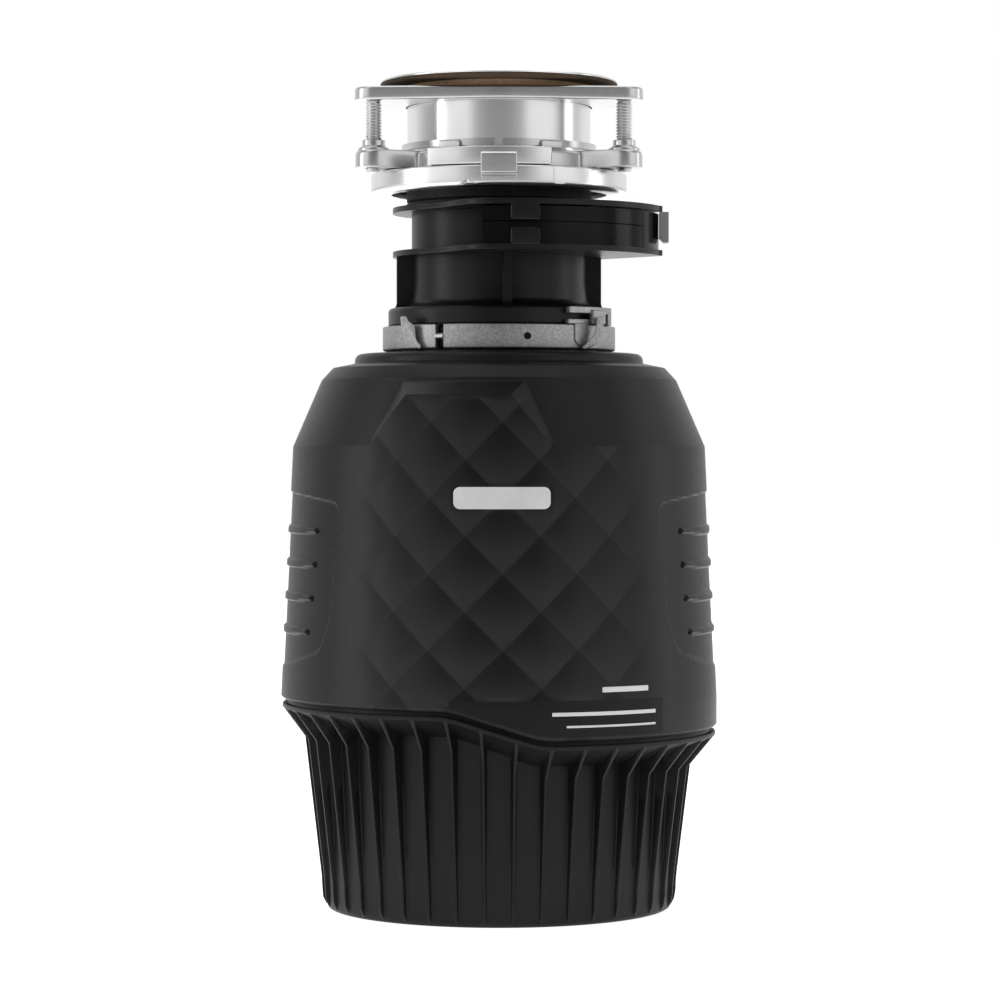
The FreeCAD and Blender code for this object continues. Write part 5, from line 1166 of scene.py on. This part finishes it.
def make_lock_ring():
    """Bright lower mounting ring with its tab, ramp and stop."""
    low, high = node_mm("lower_mounting_ring")
    foot = LOCK_LOW_Z
    ring = lathe("lock_ring_body", [
        (51.5, foot, 0.4), (LOCK_R, foot, 3.0), (LOCK_R, LOCK_TOP_Z, 0.9),
        (LOCK_R - 3.6, LOCK_TOP_Z, 0.4), (LOCK_R - 3.6, foot + 2.7, 1.0), (51.5, foot + 2.7, 0.4),
    ], 240, 6)
    finish_piece(ring, "ring_aluminium", ("lower_mounting_ring",), 40.0, "lock_ring")
    face = low[1]
    tab = prism("lock_ring_tab", rounded_outline([
        (face + 3.2, foot + 3.6), (face + 0.4, foot + 3.9, 0.3), (face + 0.4, foot + 5.2, 0.3),
        (face + 1.4, foot + 5.5, 0.3), (face, foot + 6.4, 0.8), (face, high[2], 2.6),
        (face + 3.2, high[2], 0.6),
    ], 8), -8.3, 8.3, lambda y, z, x: (x, y, z))
    soften(tab, 0.3)
    finish_piece(tab, "ring_aluminium", sharp=40.0, body="lock_ring")
    ramp_piece = mesh_piece("lock_ring_ramp", [
        at_angle(angle, foot + rise, LOCK_R + out) for angle, rise, out in RAMP_CORNERS
    ], [(0, 1, 2), (0, 3, 1), (1, 3, 2), (2, 3, 0)])
    soften(ramp_piece, 0.25)
    finish_piece(ramp_piece, "ring_aluminium", sharp=20.0, body="lock_ring")
    stop_section = box_section(LOCK_R - 2.0, LOCK_R + 0.9, foot + 1.0, LOCK_TOP_Z, 0.8)
    stop = sweep_arc("lock_ring_stop", stop_section, 24.5, 30.0, 8, inset=0.7)
    finish_piece(stop, "ring_aluminium", body="lock_ring")


def make_snap_lugs():
    low, high = node_mm("snap_ring")
    section = box_section(45.0, 49.3, low[2] - 1.4, high[2] - 0.6, 0.9)
    for name, angle in (("left", -29.0), ("right", 31.0)):
        lug = sweep_arc("snap_ring_lug_" + name, section, angle - 6.5, angle + 6.5, 10, inset=0.8)
        finish_piece(lug, "flange_steel")


def make_neck_rib():
    """Upright rib on the front of the neck and the cove at the neck's foot."""
    rib = radial_plate("neck_rib", 5.3, NECK_RIB, 4.6)
    soften(rib, 0.9)
    finish_piece(rib, "neck_plastic")
    finish_piece(lathe("neck_cove", NECK_COVE, 200, 8), "neck_plastic", sharp=45.0)


def make_deck_fronts():
    """Smooth front edges where the decks widen towards the sensor housing."""
    outline = [ring_xy(46.0, angle) for angle in range(-2, -50, -3)]
    outline += [ring_xy(radius, angle) for angle, radius in DECK_FRONT]
    for name, level in (("low", DECK_LOW_Z), ("high", DECK_HIGH_Z)):
        plate = prism("deck_front_" + name, outline, level - 0.06, level + DECK_THICK + 0.06)
        soften(plate, 0.7)
        finish_piece(plate, "neck_plastic", sharp=40.0)


def make_deck_clips():
    """Two tongues that hold the sensor housing between the decks."""
    for name, low, high in (("upper", 324.4, 332.0), ("lower", 313.0, 321.0)):
        clip = sweep_arc("deck_clip_" + name, box_section(71.6, 74.4, low, high, 0.7),
                         0.4, 10.8, 14, (5.0, 0.0), 0.5)
        finish_piece(clip, "neck_plastic")


def make_clamp_ring():
    """Galvanised split band with its flared lugs, bracket and set screw."""
    foot = node_mm("neck_clamp_ring")[0][2]
    top = foot + 11.5
    band = sweep_arc("clamp_band", rounded_outline([
        (51.0, foot, 0.3), (CLAMP_R, foot, 0.9), (CLAMP_R, top, 0.6), (51.0, top, 0.3),
        (51.0, top - 1.0), (CLAMP_R - 2.7, top - 1.0), (CLAMP_R - 2.7, foot + 1.1),
        (51.0, foot + 1.1),
    ]), -27.9, 327.9, 240, inset=0.3)

    def screw_prism(name, radius, corners, low, high):
        outline = circle_outline(radius, (13.3, foot + 5.75), corners)
        return prism(name, outline, low, high, lambda x, z, y: (x, -y, z))

    cut_away(band, [screw_prism("clamp_hole_cutter", 1.7, 32, 45.0, 60.0)])
    finish_piece(band, "zinc_steel", ("neck_clamp_ring",), 35.0)
    socket = screw_prism("clamp_set_screw", 1.6, 32, 51.6, 53.2)
    cut_away(socket, [screw_prism("clamp_key_cutter", 0.85, 6, 52.0, 60.0)])
    finish_piece(socket, "neck_plastic", sharp=35.0)
    for name, points in CLAMP_HORNS:
        outline = rounded_outline(
            [(across, foot + rise, curve) for across, rise, curve in points], 6)
        horn = prism("clamp_horn_" + name, outline, CLAMP_R - 0.4, CLAMP_R + 2.4, flared_front)
        soften(horn, 0.6)
        finish_piece(horn, "zinc_steel", sharp=35.0)
    for name, outer, start, finish, low, high in CLAMP_BRACKET:
        inner = 55.8 if name == "bridge" else 53.4
        section = box_section(inner, outer, foot + low, foot + high, 0.4)
        piece = sweep_arc("clamp_bracket_" + name, section, start, finish, 16, inset=0.4)
        finish_piece(piece, "zinc_steel")
    tongue = rounded_outline([(35.6, foot + 1.8, 3.2), (42.0, foot + 1.8, 3.2),
                              (42.0, foot + 14.0), (35.6, foot + 14.0)], 8)
    plate = prism("clamp_bracket_tongue", tongue, 53.0, 56.3, bent_front)
    soften(plate, 0.3)
    finish_piece(plate, "zinc_steel")


def flared_front(across, level, radius):
    """Point on the clamp band's front, further out towards the sides."""
    return bent_front(across, level, radius + HORN_FLARE * max(abs(across) - HORN_FLARE_AT, 0.0))


def bent_front(across, level, radius):
    """Point on an upright cylinder of a radius, at a distance to the right."""
    return across, -math.sqrt(radius ** 2 - across ** 2), level


# ---------------------------------------------------------- stage and camera

def make_floor():
    bpy.ops.mesh.primitive_plane_add(size=12.0, location=(0, 0, 0))
    floor = bpy.context.object
    floor.name = "studio_floor"
    material, tree, shader = new_material("studio floor", grey(0.90), 0.8)
    shader.inputs["Specular IOR Level"].default_value = 0.0
    shader.inputs["Emission Color"].default_value = (1.0, 1.0, 1.0, 1.0)
    across, back = place_axes(tree)[:2]
    wedge = maths(tree, "MULTIPLY_ADD", back, -0.16, maths(tree, "ABSOLUTE", across))
    sides = span(tree, wedge, 1.0, FLOOR_DIM, 0.28, 0.85)
    front = span(tree, back, FLOOR_DIM, 1.0, -0.75, -0.31)
    least = maths(tree, "MINIMUM", sides, front)
    glow = span(tree, least, 0.0, FLOOR_GLOW, 0.0, 1.0)
    tree.links.new(glow, shader.inputs["Emission Strength"])
    floor.data.materials.append(material)


def make_world():
    """White studio whose brightness changes round the object, as softboxes would."""
    world = bpy.data.worlds.new("studio")
    bpy.context.scene.world = world
    world.use_nodes = True
    tree = world.node_tree
    way = add_node(tree, "TexCoord").outputs["Generated"]
    flat = add_node(tree, "VectorMath", {0: way, 1: (1.0, 1.0, 0.0)}, operation="MULTIPLY")
    unit = add_node(tree, "VectorMath", {0: flat.outputs["Vector"]}, operation="NORMALIZE")
    parts = add_node(tree, "SeparateXYZ", {"Vector": unit.outputs["Vector"]})
    depth = span(tree, parts.outputs["Y"], 0.0, 1.0, -1.0, 1.0)
    around = ramp(tree, depth, [(position, grey(level)) for position, level in WORLD_BANDS])
    rise = add_node(tree, "SeparateXYZ", {"Vector": way})
    overhead = span(tree, rise.outputs["Z"], 1.0, WORLD_TOP, 0.35, 0.85)
    dimmed = add_node(tree, "VectorMath", {0: around, "Scale": overhead}, operation="SCALE")
    backdrop = tree.nodes["Background"]
    tree.links.new(dimmed.outputs["Vector"], backdrop.inputs["Color"])
    backdrop.inputs["Strength"].default_value = 1.0


def area_light(name, place, aim_z, size, power, height=None):
    """Soft light aimed at a height on the axis; lengths are in metres."""
    data = bpy.data.lights.new(name, "AREA")
    data.energy = power
    data.size = size
    if height:
        data.shape = "RECTANGLE"
        data.size_y = height
    light = bpy.data.objects.new(name, data)
    light.location = place
    direction = Vector((0, 0, aim_z)) - Vector(place)
    light.rotation_euler = direction.to_track_quat("-Z", "Y").to_euler()
    bpy.context.scene.collection.objects.link(light)


def make_camera():
    """Long lens level with the shoulder, tipped down by under a degree."""
    data = bpy.data.cameras.new("camera")
    data.sensor_width = 36.0
    data.lens = CAMERA_LENS
    camera = bpy.data.objects.new("camera", data)
    camera.location = CAMERA_AT_M
    camera.rotation_euler = (math.radians(90.0 - CAMERA_TIP), 0, 0)
    bpy.context.scene.collection.objects.link(camera)
    bpy.context.scene.camera = camera


paint_cad_nodes()
make_shell()
make_base()
for side, angle in SCREW_ANGLES:
    make_screw(side, angle)
make_backup_plate()
make_mounting_plate()
make_label()
make_sink_flange()
make_lock_ring()
make_snap_lugs()
make_neck_rib()
make_deck_fronts()
make_deck_clips()
make_clamp_ring()
make_floor()
make_world()
area_light("left strip", (-1.15, -0.20, 0.40), 0.25, 0.30, 3.0, 1.2)
area_light("right strip", (1.25, 0.10, 0.40), 0.25, 0.35, 2.0, 1.2)
area_light("top box", (0.0, 0.1, 1.6), 0.2, 1.4, 5.0)
make_camera()
bpy.context.scene.view_settings.view_transform = "Standard"
